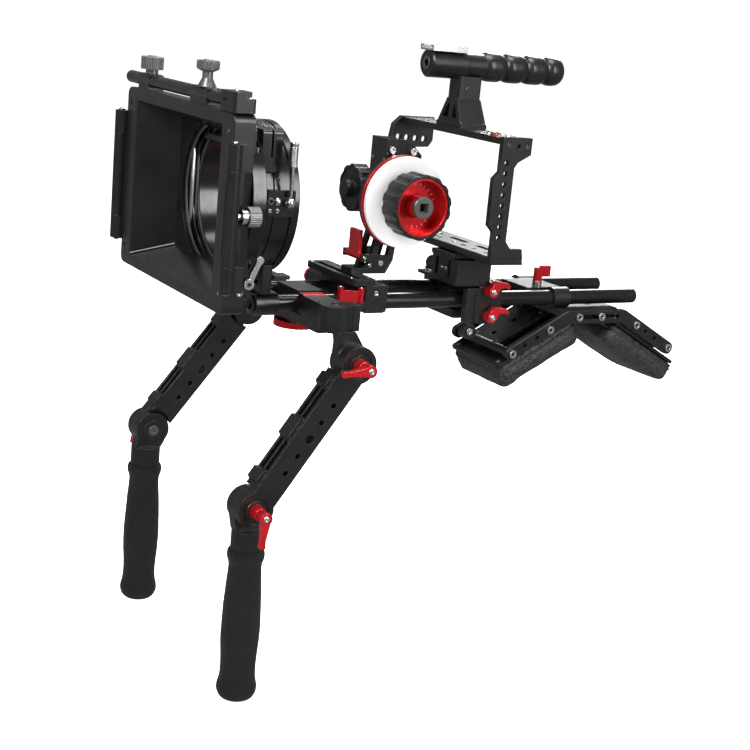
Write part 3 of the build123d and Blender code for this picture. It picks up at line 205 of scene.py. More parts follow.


# The third colour of each metal is the lighter colour its edges are painted with, a painted highlight that also stands
# for rubbed wear.
BLACK = metal("anodised_black", (0.0055, 0.0055, 0.0056), (0.0100, 0.0099, 0.0098), (0.12, 0.118, 0.115), 0.30, 0.24, grain=1500.0, depth=0.0000022, spec=0.42, radius=0.0006)
BLACK_FINE = metal("anodised_black_fine", (0.005, 0.005, 0.005), (0.009, 0.009, 0.009), (0.11, 0.11, 0.11), 0.20, 0.22, grain=3200.0, depth=0.000003, spec=0.42)
GUNMETAL = metal("anodised_grey", (0.050, 0.049, 0.047), (0.075, 0.074, 0.071), (0.28, 0.27, 0.26), 0.34, 0.55)
RED = metal("anodised_red", (0.46, 0.009, 0.015), (0.60, 0.018, 0.028), (0.90, 0.20, 0.18), 0.24, 0.72, grain=1700.0, depth=0.000004, radius=0.0007)
RED_DEEP = metal("anodised_red_deep", (0.42, 0.009, 0.012), (0.56, 0.016, 0.018), (0.80, 0.10, 0.09), 0.28, 0.75, grain=1700.0, depth=0.000005, radius=0.0006)
STEEL = metal("bright_steel", (0.50, 0.50, 0.49), (0.66, 0.66, 0.65), (0.85, 0.85, 0.84), 0.24, 1.0, grain=1800.0, depth=0.00002)
NICKEL = metal("knurled_nickel", (0.10, 0.105, 0.11), (0.17, 0.175, 0.18), (0.50, 0.50, 0.50), 0.34, 0.8, grain=1500.0)
COPPER = metal("copper_boss", (0.30, 0.10, 0.055), (0.42, 0.16, 0.09), (0.80, 0.45, 0.32), 0.35, 0.9)


def make_hood():
    q = Mat("hood_matte_black")
    wr = q.noise(1100.0, 4.0, 0.7)
    cl = q.noise(22.0, 4.0, 0.6)
    bev = q.bevel(0.0003)
    nrm = q.bump(wr, 0.000004, 0.7, bev)
    return q.set(Base_Color=q.ramp(cl, [(0.3, (0.0035, 0.0035, 0.0035)), (0.7, (0.007, 0.007, 0.007))]),
                 Roughness=q.range(wr, 0.20, 0.30), Specular_IOR_Level=0.30, Normal=nrm)


def make_white():
    q = Mat("white_matte_plastic")
    sm = q.noise(45.0, 5.0, 0.6)
    fi = q.noise(1700.0, 2.0, 0.5)
    sc = q.noise(260.0, 3.0, 0.6, (1.0, 9.0, 0.6))
    bev = q.bevel(0.0004)
    nrm = q.bump(q.math("ADD", fi, q.math("MULTIPLY", sc, 0.4)), 0.00002, 0.6, bev)
    return q.set(Base_Color=q.ramp(sm, [(0.25, (0.50, 0.498, 0.492)), (0.75, (0.56, 0.559, 0.555))]),
                 Roughness=q.range(sc, 0.40, 0.58), Normal=nrm, Specular_IOR_Level=0.4)


def make_rubber():
    q = Mat("black_rubber")
    fi = q.noise(1900.0, 3.0, 0.6)
    cl = q.noise(60.0, 4.0, 0.6)
    bev = q.bevel(0.0006)
    # painted highlight: sharp edges of the rubber mixed toward a lighter grey
    rubber_edge_highlight = q.math("MULTIPLY", q.edge(bev, 0.03, 0.3), 0.35)
    col = q.mix(rubber_edge_highlight, q.ramp(cl, [(0.3, (0.003, 0.003, 0.003)), (0.7, (0.005, 0.005, 0.005))]), (0.025, 0.025, 0.025))
    return q.set(Base_Color=col, Roughness=q.range(cl, 0.30, 0.42), Normal=q.bump(fi, 0.000008, 0.7, bev), Specular_IOR_Level=0.27)


def make_foam():
    q = Mat("grip_foam")
    cells = q.voronoi(1500.0)
    big = q.voronoi(560.0)
    cl = q.noise(70.0, 5.0, 0.65)
    h = q.math("ADD", cells, q.math("MULTIPLY", big, 0.55))
    # painted shade: the pore centres of the cell pattern, the low points of the bump, are darker than the cell rims
    col = q.mix(q.range(cells, 0.0, 1.0, 0.0, 0.75), (0.0025, 0.0025, 0.0025), (0.0095, 0.0095, 0.0095))
    col2 = q.mix(q.range(cl, 0.0, 0.6, 0.35, 0.75), col, (0.0055, 0.0055, 0.006))
    return q.set(Base_Color=col2, Roughness=q.range(cl, 0.86, 0.98), Normal=q.bump(h, 0.00022, 0.9),
                 Specular_IOR_Level=0.07, Sheen_Weight=0.03, Sheen_Roughness=0.5)


def make_leather():
    q = Mat("pebbled_leather")
    peb = q.voronoi(430.0, "SMOOTH_F1", 1.0)
    fine = q.noise(2600.0, 3.0, 0.6)
    crease = q.voronoi(95.0, "DISTANCE_TO_EDGE", 1.0)
    cl = q.noise(30.0, 4.0, 0.6)
    h = q.math("ADD", q.math("MULTIPLY", q.math("SUBTRACT", 1.0, peb), 1.0), q.math("MULTIPLY", fine, 0.18))
    h = q.math("ADD", h, q.math("MULTIPLY", q.range(crease, 0.0, 1.0, 0.0, 0.04), 0.25))
    # painted highlight and shade: pebble tops lighter, the valleys between pebbles darker, following the bump height
    col = q.mix(q.range(peb, 0.0, 1.0, 0.15, 0.65), (0.019, 0.019, 0.0195), (0.0040, 0.0040, 0.0045))
    col = q.mix(q.range(cl, 0.0, 0.3, 0.4, 0.8), col, (0.018, 0.0176, 0.0175))
    return q.set(Base_Color=col, Roughness=q.range(cl, 0.40, 0.56), Normal=q.bump(h, 0.0008, 0.9), Specular_IOR_Level=0.5)


HOOD, WHITE, RUBBER, FOAM, LEATHER = make_hood(), make_white(), make_rubber(), make_foam(), make_leather()

BY_SLOT = {"black_anodised": BLACK, "hood_black": BLACK, "red_anodised": RED, "steel": STEEL, "knurled_nickel": NICKEL,
           "white_plastic": WHITE, "black_rubber": RUBBER, "grip_foam": FOAM, "pad_leather": LEATHER}
slot_of = {s["node"]: s["material_slot"] for s in frame["record"]["subparts"]}


def shade(o, angle=32):
    o.data.shade_smooth()
    o.data.set_sharp_from_angle(angle=math.radians(angle))


for name, o in NODES.items():
    mat = BY_SLOT[slot_of[name]]
    if len(o.material_slots) == 0:
        o.data.materials.append(mat)
    for s in o.material_slots:
        s.material = mat
    shade(o, 28)


def paint(node, mat, test):
    """Faces of a node whose centre (in mm about the rods) and normal pass the test take another material."""
    o = NODES[node]
    o.data.materials.append(mat)
    k = len(o.data.materials) - 1
    for p in o.data.polygons:
        c = p.center
        if test(c.x * 1000, c.y * 1000 + 88, c.z * 1000 - 20, p.normal):
            p.material_index = k


paint("clamp_knob", RED, lambda x, y, z, n: x < -78.02)
paint("matte_hood", HOOD, lambda x, y, z, n: abs(x) < 96.9 and abs(z - 90.95) < 72.1 and math.hypot(x, z - 90.95) < 125 and
      (abs(x) < 94.9 or abs(z - 90.95) < 70.1) and ((-x * n.x - (z - 90.95) * n.z) > 0 or y > -180.3))
for n in ("wheel_dish",):
    NODES[n].material_slots[0].material = RED_DEEP
for n in ("lens_stage", "rear_ring", "rods", "focus_gearbox_body", "flag_bar"):
    NODES[n].material_slots[0].material = BLACK_FINE
for n in ("wheel_socket", "drive_gear"):
    NODES[n].material_slots[0].material = GUNMETAL


# ------------------------------------------------------------------- helpers
def frame_of(axis, up=None):
    a = Vector(axis).normalized()
    u = Vector(up) if up else (Vector((0, 0, 1)) if abs(a.z) < 0.9 else Vector((0, 1, 0)))
    x = u.cross(a).normalized()
    y = a.cross(x).normalized()
    return Matrix((x, y, a)).transposed()


class Batch:
    """Many small pieces of one material on one body, kept as one mesh."""

    def __init__(self, name, body, mat, slot):
        self.name, self.body, self.mat, self.slot = name, body, mat, slot
        self.bm = bmesh.new()

    def lathe(self, profile, at, axis, seg=32, up=None, wave=None):
        """profile: (radius mm, height mm[, 'hex']) from the axis round to the axis."""
        m = frame_of(axis, up)
        rings = []
        for pt in profile:
            r, h = pt[0], pt[1]
            kind = pt[2] if len(pt) > 2 else None
            if r < 1e-6:
                rings.append([self.bm.verts.new(at + m @ Vector((0, 0, h * MM)))])
                continue
            ring = []
            for k in range(seg):
                t = 2 * math.pi * k / seg
                rr = r
                if kind == "hex":
                    rr = r / math.cos((t % (math.pi / 3)) - math.pi / 6)
                elif kind == "wave" and wave:
                    rr = r + wave(t)
                ring.append(self.bm.verts.new(at + m @ Vector((rr * math.cos(t) * MM, rr * math.sin(t) * MM, h * MM))))
            rings.append(ring)
        for a, b in zip(rings, rings[1:]):
            if len(a) == 1 and len(b) == 1:
                continue
            for k in range(seg):
                j = (k + 1) % seg
                if len(a) == 1:
                    self.bm.faces.new((a[0], b[j], b[k]))
                elif len(b) == 1:
                    self.bm.faces.new((a[k], a[j], b[0]))
                else:
                    self.bm.faces.new((a[k], a[j], b[j], b[k]))

    def cap_screw(self, at, axis, r=3.2, h=2.6, hexr=1.5, sink=1.6):
        """Socket head cap screw, seat at `at`, head standing out along axis."""
        self.lathe([(0, h - sink), (hexr, h - sink, "hex"), (hexr, h - 0.15, "hex"), (hexr + 0.25, h), (r - 0.45, h), (r - 0.1, h - 0.25), (r, h - 0.6), (r, 0.0), (0, 0.0)],
                   at, axis, 24)

    def button_screw(self, at, axis, r=2.6, h=1.3, hexr=0.95):
        self.lathe([(0, h - 0.9), (hexr, h - 0.9, "hex"), (hexr, h - 0.05, "hex"), (hexr + 0.2, h), (0.55 * r, h * 0.97), (0.8 * r, h * 0.75), (0.95 * r, h * 0.4), (r, 0.1), (r, 0.0), (0, 0.0)],
                   at, axis, 24)

    def ring(self, r0, r1, h, at, axis, seg=64, round_=0.25):
        c = round_
        m = frame_of(axis)
        prof = [(r0 + c, 0), (r0, c), (r0, h - c), (r0 + c, h), (r1 - c, h), (r1, h - c), (r1, c), (r1 - c, 0)]
        rings = [[self.bm.verts.new(at + m @ Vector((r * math.cos(2 * math.pi * k / seg) * MM, r * math.sin(2 * math.pi * k / seg) * MM, z * MM))) for k in range(seg)] for r, z in prof]
        n = len(prof)
        for i in range(n):
            a, b = rings[i], rings[(i + 1) % n]
            for k in range(seg):
                j = (k + 1) % seg
                self.bm.faces.new((a[k], a[j], b[j], b[k]))

    def block(self, lo, hi, bevel=0.3, turn=None, about=None):
        """Box between two corners (mm about the rods), its edges bevelled."""
        tmp = bmesh.new()
        bmesh.ops.create_cube(tmp, size=1.0)
        s = [(b - a) for a, b in zip(lo, hi)]
        c = [(a + b) / 2 for a, b in zip(lo, hi)]
        for v in tmp.verts:
            v.co = Vector((v.co.x * s[0], v.co.y * s[1], v.co.z * s[2]))
        if bevel:
            bmesh.ops.bevel(tmp, geom=list(tmp.edges), offset=bevel, segments=2, affect="EDGES", profile=0.6)
        for v in tmp.verts:
            p = v.co + Vector(c)
            if turn is not None:
                p = turn @ (p - Vector(about)) + Vector(about)
            v.co = P(*p)
        me = bpy.data.meshes.new("tmp")
        tmp.to_mesh(me)
        self.bm.from_mesh(me)
        bpy.data.meshes.remove(me)
        tmp.free()

    def done(self, angle=32):
        bmesh.ops.recalc_face_normals(self.bm, faces=list(self.bm.faces))
        me = bpy.data.meshes.new(self.name)
        self.bm.to_mesh(me)
        self.bm.free()
        o = bpy.data.objects.new(self.name, me)
        bpy.context.scene.collection.objects.link(o)
        me.materials.append(self.mat)
        shade(o, angle)
        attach(o, self.body)
        return o



def turned(points, steps=8):
    """Quarter-round helper: profile of a dome (radius, height)."""
    r, h = points
    return [(r * math.cos(math.pi / 2 * k / steps), h * math.sin(math.pi / 2 * k / steps)) for k in range(steps + 1)]


def dome_profile(r, h):
    pts = turned((r, h))
    return [(0.0, h)] + [(a, b) for a, b in reversed(pts[:-1])] + [(0.0, 0.0)]


wy, wz = -89.7 - 150.9 * math.cos(math.radians(54.5)), -34.7 - 150.9 * math.sin(math.radians(54.5))
wyr, wzr = -89.7 - 150.9 * math.cos(math.radians(51.65)), -34.7 - 150.9 * math.sin(math.radians(51.65))
XP, XM, YM, YP, ZP, ZM = (1, 0, 0), (-1, 0, 0), (0, -1, 0), (0, 1, 0), (0, 0, 1), (0, 0, -1)

# faces of CAD parts that are another metal; the clamp wheel's sides take the darker red as painted shade
paint("rod_jaws", BLACK, lambda x, y, z, n: n.z < 0.5)
# painted shade: side faces of the clamp wheel darker red than its top and bottom
paint("clamp_wheel", RED_DEEP, lambda x, y, z, n: abs(n.z) < 0.5)
paint("shoulder_lever", STEEL, lambda x, y, z, n: z < 12.3)
paint("side_thumbscrew", STEEL, lambda x, y, z, n: y < -199.9)
paint("swing_arm", STEEL, lambda x, y, z, n: math.hypot(y + 16, z - 33) < 2.75 and -3.5 < x < 19.5)
for node, side in (("arm_lever_left", 1), ("arm_lever_right", -1), ("wrist_lever_left", 1), ("wrist_lever_right", -1)):
    paint(node, BLACK, lambda x, y, z, n: abs(x) < 124.3)
    paint(node, RED_DEEP, lambda x, y, z, n: 124.4 < abs(x) < 139.5)

# pivot screws in every clamping lever
for body, at, ax, r in (("rod_lock", (60.0, 86.2, 12.2), XP, 3.1), ("post_lock", (60.0, 87.5, -12.4), XP, 3.1),
                        ("arm_lock_l", (145.5, -89.7, -34.7), XP, 3.0), ("arm_lock_r", (-145.5, -89.7, -34.7), XM, 3.0),
                        ("wrist_lock_l", (145.5, wy, wz), XP, 3.0), ("wrist_lock_r", (-145.5, wyr, wzr), XM, 3.0)):
    b = Batch("lever_screw_" + body, body, STEEL, "steel")
    b.button_screw(P(*at), ax, r, 1.1, 1.25)
    b.done()

# screws, caps and threads on the base
b = Batch("base_screws_steel", "base", STEEL, "steel")
b.cap_screw(P(41.0, -32, 9.6), XP, 2.9, 2.4, 1.4)
b.cap_screw(P(50.0, 69.5, -27.2), XP, 3.6, 1.0, 1.4, 0.8)
for x, y in ((-14, 55), (-14, 95), (44, 95)):
    b.button_screw(P(x, y, 20.0), ZP, 2.6, 1.4, 1.1)
for x in (-44, 36):
    b.button_screw(P(x, -55, 23.0), ZP, 1.5, 0.5, 0.7)
for x in (24.0, 31.0):
    b.button_screw(P(x, 48.0, 30.5), YM, 1.9, 1.0, 0.8)
b.done()
b = Batch("base_screws_dark", "base", GUNMETAL, "black_anodised")
for s in (-1, 1):
    b.cap_screw(P(s * 93, -100, 8.6), ZP, 4.2, 3.2, 1.9, 2.0)
    b.cap_screw(P(s * 98.2, -89.7, -34.7), XM if s > 0 else XP, 5.2, 1.2, 2.0, 0.9)
    b.cap_screw(P(s * 86, -111.6 + 2.6, -1), YM, 2.4, 1.0, 1.1, 0.8)
    for k in range(7):
        b.ring(4.72, 5.19, 0.7, P(s * 30, -151.2 + 1.5 * k, 0), YP, 40, 0.2)
for k in range(6):
    b.ring(3.72, 4.19, 0.8, P(0, 88, -19.4 + 1.55 * k), ZP, 40, 0.25)
for y in (-103, -79):
    for x in (-15, 15):
        b.button_screw(P(x, y, -21.9), ZM, 2.0, 1.0, 0.9)
for x, y in ((-46, 80), (46, 98), (-46, 98)):
    b.button_screw(P(x, y, 17.0), ZP, 2.2, 1.0, 0.9)
b.done()

# matte box: plungers, plates, screws and trays
b = Batch("hood_hardware_steel", "matte_box", STEEL, "steel")
b.lathe(dome_profile(3.7, 3.4), P(72.9, -153.7, 96.5), XP, 28)
b.button_screw(P(72.9, -160.2, 88.8), XP, 2.1, 0.9, 0.9)
b.button_screw(P(72.9, -153.1, 88.8), XP, 2.1, 0.9, 0.9)
b.cap_screw(P(118.35, -204.5, 29.0), XP, 3.0, 1.6, 1.3, 1.0)
b.button_screw(P(98.0, -208.5, 188.0), ZP, 2.2, 1.2, 1.0)
b.button_screw(P(114.0, -204.0, 183.0), ZP, 1.7, 0.9, 0.8)
for z in (150.0, 30.0):
    for s in (-1, 1):
        b.lathe(dome_profile(2.7, 1.3), P(s * 127, -220, z), ZP if z > 90 else ZM, 24)
b.done()
b = Batch("hood_hardware_dark", "matte_box", GUNMETAL, "black_anodised")
b.ring(1.6, 3.0, 1.6, P(72.9, -160.2, 97.0), XP, 28, 0.3)
for z in (157.0, 27.0):
    b.cap_screw(P(109, -218.1, z), YM, 2.0, 0.7, 0.9, 0.5)
b.ring(61.0, 63.45, 1.4, P(0, -179.9, 91), YP, 128, 0.4)
b.ring(60.6, 63.3, 1.2, P(0, -168.6, 91), YP, 128, 0.4)
for s in (-1, 1):
    b.button_screw(P(s * 20, -147.5, 32), YM, 2.0, 1.0, 0.9)
for a in range(20, 200, 60):
    c, q = math.cos(math.radians(a)), math.sin(math.radians(a))
    b.button_screw(P(67.8 * c, -149.6, 91 + 67.8 * q), (c, 0, q), 1.8, 0.9, 0.8)
b.done()
b = Batch("second_tray", "matte_box", GUNMETAL, "black_anodised")
b.block((-64, -171.4, 42), (-58.6, -169.3, 140), 0.4)
b.block((58.6, -171.4, 42), (64, -169.3, 140), 0.4)
b.block((-58.7, -171.4, 140 - 5), (58.7, -169.3, 140), 0.4)
b.done()
b = Batch("tray_edges", "tray", STEEL, "steel")
for s in (-1, 1):
    b.block((s * 58.75 - 0.35, -176.9, 36), (s * 58.75 + 0.35, -173.7, 146), 0.12)
b.done()
b = Batch("tray_tab_grip", "tray", RUBBER, "black_rubber")
for k in range(6):
    b.block((-15 + 5.2 * k, -177.75, 160.4), (-12.6 + 5.2 * k, -177.2, 165.2), 0.15)
b.done()
b = Batch("hood_lever_pivot", "hood_lock", GUNMETAL, "black_anodised")
b.cap_screw(P(128.3, -200.6, 38), XP, 2.3, 0.8, 1.1, 0.7)
b.done()
b = Batch("ring_lever_cap", "ring_lock", STEEL, "steel")
b.lathe([(0, 21.2)] + [(3.72, 20.8), (3.95, 20.2), (3.95, 19.0), (3.75, 18.6)] + [(0, 18.6)], P(77.5, -144, 126), ZP, 36)
for k in range(9):
    b.ring(3.6, 4.0, 1.0, P(77.5, -144, 127.2 + 1.9 * k), ZP, 40, 0.25)
b.done()

# knobs of the flag bar: knurled bands and centre screws
for body, x, top in (("bar_knob_right", -78, 201.1), ("bar_knob_left", 46, 207.0)):
    b = Batch("knob_cap_" + body, body, NICKEL, "knurled_nickel")
    b.lathe([(0, 0.9), (3.4, 0.9), (3.9, 0.5), (4.0, 0.0), (0, 0.0)], P(x, -212, top), ZP, 32)
    n = 44
    r0 = 9.95 if x < 0 else 8.95
    for k in range(n if x > 0 else 0):
        t = 2 * math.pi * k / n
        b.lathe([(0, 6.2), (0.5, 6.0), (0.55, 0.4), (0, 0.2)], P(x + r0 * math.cos(t), -212 + r0 * math.sin(t), 200.4), ZP, 6)
    b.done()
b = Batch("thumbscrew_face", "thumbscrew", NICKEL, "knurled_nickel")
b.lathe([(0, 0.5), (2.0, 0.5), (2.3, 0.9), (5.6, 0.9), (6.2, 0.4), (6.3, 0.0), (0, 0.0)], P(113, -189.5, 90), YP, 36)
b.done()

# follow focus
b = Batch("focus_screws", "focus_unit", STEEL, "steel")
b.cap_screw(P(18.0, -15.0, 137.2), XP, 3.5, 2.6, 1.6)
b.cap_screw(P(18.0, 7.6, 136.2), XP, 3.5, 2.6, 1.6)
for x in (-17.4, 19.4):
    b.button_screw(P(x, -34, 38), XP if x > 0 else XM, 2.2, 1.0, 1.0)
b.button_screw(P(18.0, -27.0, 31.0), XP, 2.2, 1.0, 1.0)
b.done()
b = Batch("focus_screws_dark", "focus_unit", GUNMETAL, "black_anodised")
for x, z in ((-6, 73), (14, 73), (14, 128), (-6, 128)):
    b.button_screw(P(x, -24.0 if z < 118 else -20.5, z), YM, 2.1, 1.0, 0.95)
for z in (72, 110):
    b.button_screw(P(-10.0, -12, z), XM, 2.1, 1.0, 0.95)
b.block((15.2, -18, 142.0), (17.9, 2, 142.6), 0.1)
b.done()
b = Batch("dish_ticks", "wheel", WHITE, "white_plastic")
for k in range(24):
    t = math.radians(15 * k)
    ln = 3.0 if k % 3 == 0 else 1.7
    c = (48.55, -5 + (21.0 - ln / 2) * math.cos(t), 92 + (21.0 - ln / 2) * math.sin(t))
    b.block((c[0] - 0.12, c[1] - ln / 2, c[2] - 0.22), (c[0] + 0.12, c[1] + ln / 2, c[2] + 0.22), 0.05,
            Matrix.Rotation(t, 3, "X"), c)
b.done()
b = Batch("wheel_hub_ring", "wheel", RED_DEEP, "red_anodised")
b.ring(10.25, 11.6, 1.4, P(48.4, -5, 92), XP, 64, 0.35)
b.ring(24.2, 25.2, 0.8, P(63.9, -5, 92), XP, 96, 0.2)
b.done()
b = Batch("gear_knob_face", "gear", RUBBER, "black_rubber")
for k in range(30):
    t = math.radians(12 * k)
    b.lathe([(0, 0.5), (0.75, 0.35), (0.9, 0.0), (0, -0.3)], P(19.3 * math.cos(t), -45.1, 100 + 19.3 * math.sin(t)), YM, 8)
b.done()
b = Batch("side_knob_face", "side_knob", RED_DEEP, "red_anodised")
b.lathe([(0, 0.6), (2.2, 0.6), (2.6, 1.0), (5.8, 1.0), (6.4, 0.5), (6.5, 0.0), (0, 0.0)], P(-82.5, -34.5, 1.8), XM, 36)
b.done()

# thumb lever and arm lock lever: pivot pins
b = Batch("thumb_lever_pin", "cam_lever", STEEL, "steel")
b.lathe([(0, 0.6), (1.2, 0.5), (1.5, 0.2), (1.5, 0.0), (0, 0.0)], P(46.4, -50, 15.9), ZP, 24)
b.lathe([(0, 0.6), (1.4, 0.5), (1.7, 0.2), (1.7, 0.0), (0, 0.0)], P(40.6, -68.2, 16.35), ZP, 24)
b.done()

# cage and top handle
b = Batch("cage_screws_steel", "cage", STEEL, "steel")
for x, y in ((62, 59), (66, 71), (80.5, 67.5)):
    b.button_screw(P(x, y, 160.0), ZP, 2.6, 1.5, 1.1)
for x, y in ((18, 63), (-30, 76)):
    b.button_screw(P(x, y, 53.0), ZP, 2.6, 0.9, 1.1)
b.done()
b = Batch("cage_boss", "cage", COPPER, "steel")
b.lathe([(0, 1.5), (1.5, 1.5), (1.7, 3.0), (3.3, 3.0), (3.7, 2.6), (3.8, 0.0), (0, 0.0)], P(72, 58, 160), ZP, 36)
b.done()
b = Batch("cage_screws_dark", "cage", GUNMETAL, "black_anodised")
for y, z in ((57.0, 154.0), (77.0, 153.0)):
    b.cap_screw(P(97.2, y, z), XP, 2.0, 1.2, 1.0, 0.9)
for x in (-17.6, 17.6):
    for y in (56.5, 80.6):
        b.cap_screw(P(x, y, 164.0), ZP, 1.9, 1.4, 0.9, 1.0)
b.ring(3.4, 6.2, 0.8, P(0, 24.0, 216.5), YM, 48, 0.25)
for x in (-9.3, 9.3):
    b.button_screw(P(x, 66.0, 195.0), XP if x > 0 else XM, 2.4, 0.9, 1.1)
b.done()

# shoulder support: plate screws
fs, fc = math.sin(math.atan2(34.8, 64.0)), math.cos(math.atan2(34.8, 64.0))
rs, rc = math.sin(math.atan2(-35.2, 64.0)), math.cos(math.atan2(-35.2, 64.0))
FRONT = ((122 + 7.0 * fs, -51 - 7.0 * fc), (fc, fs), (fs, -fc))
REAR = ((319 + 7.0 * rs, -52 - 7.0 * rc), (-rc, -rs), (rs, -rc))


def on_pad(plane, x, y, d):
    """Point at x along the limb, y across the rig, d below the plate plane (mm)."""
    (oy, oz), (ay, az_), (ny, nz) = plane
    return P(y, oy + ay * x + ny * d, oz + az_ * x + nz * d)


b = Batch("pad_plate_screws", "shoulder", GUNMETAL, "black_anodised")
for plane, xs in ((FRONT, (4, 63)), (REAR, (10, 58))):
    up_axis = (0, -plane[2][0], -plane[2][1])
    for x in xs:
        for y in (-17, 17):
            b.cap_screw(on_pad(plane, x, y, -10.0), up_axis, 2.7, 1.6, 1.3, 1.1)
for plane, xs in ((FRONT, (-10, 72)), (REAR, (-18, 66))):
    up_axis = (0, -plane[2][0], -plane[2][1])
    for x in xs:
        for y in (-36, 36):
            b.button_screw(on_pad(plane, x, y, 0.0), up_axis, 2.6, 1.2, 1.1)
b.done()
b = Batch("rosette_caps", "grip_l", GUNMETAL, "black_anodised")
b.cap_screw(P(98.2, wy, wz), XM, 5.2, 1.2, 2.0, 0.9)
b.done()
b = Batch("rosette_caps_right", "grip_r", GUNMETAL, "black_anodised")
b.cap_screw(P(-98.2, wyr, wzr), XP, 5.2, 1.2, 2.0, 0.9)
b.done()

# --------------------------------------------------------------- foam grips
grip_x = 107.0


def foam_profile(top):
    """Outline of the sleeve in mm (radius, height) from the top rim down and under."""
    pts = [(11.25, 0.0), (14.6, -0.1), (15.7, -0.6), (16.2, -2.0), (16.75, -4.3), (16.5, -7.2), (15.7, -10.0), (14.7, -12.4),
           (14.5, -16.0), (14.9, -24.0), (15.6, -33.0), (16.2, -43.0), (16.8, -55.0), (17.2, -66.0), (17.3, -77.0), (16.9, -88.0),
           (16.1, -99.0), (15.7, -107.0), (15.8, -115.0), (16.5, -121.5), (17.6, -125.5), (18.0, -128.0), (17.9, -131.0), (17.3, -133.4),
           (15.9, -136.2), (14.2, -138.1), (12.0, -138.9), (8.0, -139.15), (4.0, -139.25), (0.0, -139.3)]
    pts = [(r, h + top) for r, h in pts]
    out = [pts[0]]
    for (ra, ha), (rb, hb) in zip(pts, pts[1:]):
        n = max(1, int(math.hypot(rb - ra, hb - ha) / 2.0))
        for k in range(1, n + 1):
            out.append((ra + (rb - ra) * k / n, ha + (hb - ha) * k / n))
    return out


for side, s, grip_y, foam_top in (("left", 1, -175.5, -197.1), ("right", -1, -187.0, -188.2)):
    bm = bmesh.new()
    seg = 72
    rings = []
    centre = P(s * grip_x, grip_y, 0)
    for r, h in foam_profile(foam_top):
        if r < 1e-6:
            rings.append([bm.verts.new(centre + Vector((0, 0, h * MM)))])
            continue
        ring = []
        for k in range(seg):
            t = 2 * math.pi * k / seg
            p = Vector((math.cos(t) * r, math.sin(t) * r, h))
            soft = noise.noise(p * 0.055 + Vector((s * 7, 0, 0))) * 0.22 + noise.noise(p * 0.3) * 0.07
            keep = 1.0 if r > 12 else 0.3
            rr = r + soft * keep - 0.12
            ring.append(bm.verts.new(centre + Vector((math.cos(t) * rr, math.sin(t) * rr, h)) * MM))
        rings.append(ring)
    for a, b in zip(rings, rings[1:]):
        for k in range(seg):
            j = (k + 1) % seg
            if len(b) == 1:
                bm.faces.new((a[j], a[k], b[0]))
            else:
                bm.faces.new((a[j], a[k], b[k], b[j]))
    # inner lip down along the tube
    inner = [bm.verts.new(Vector((v.co.x, v.co.y, v.co.z - 0.004))) for v in rings[0]]
    for k in range(seg):
        j = (k + 1) % seg
        bm.faces.new((rings[0][k], rings[0][j], inner[j], inner[k]))
    bmesh.ops.recalc_face_normals(bm, faces=list(bm.faces))
    me = bpy.data.meshes.new("foam_sleeve_" + side)
    bm.to_mesh(me)
    bm.free()
    o = bpy.data.objects.new("foam_sleeve_" + side, me)
    bpy.context.scene.collection.objects.link(o)
    me.materials.append(FOAM)
    sub = o.modifiers.new("sub", "SUBSURF")
    sub.levels = sub.render_levels = 1
    me.shade_smooth()
    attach(o, "grip_l" if s > 0 else "grip_r")
    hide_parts("grip_foam_" + side)


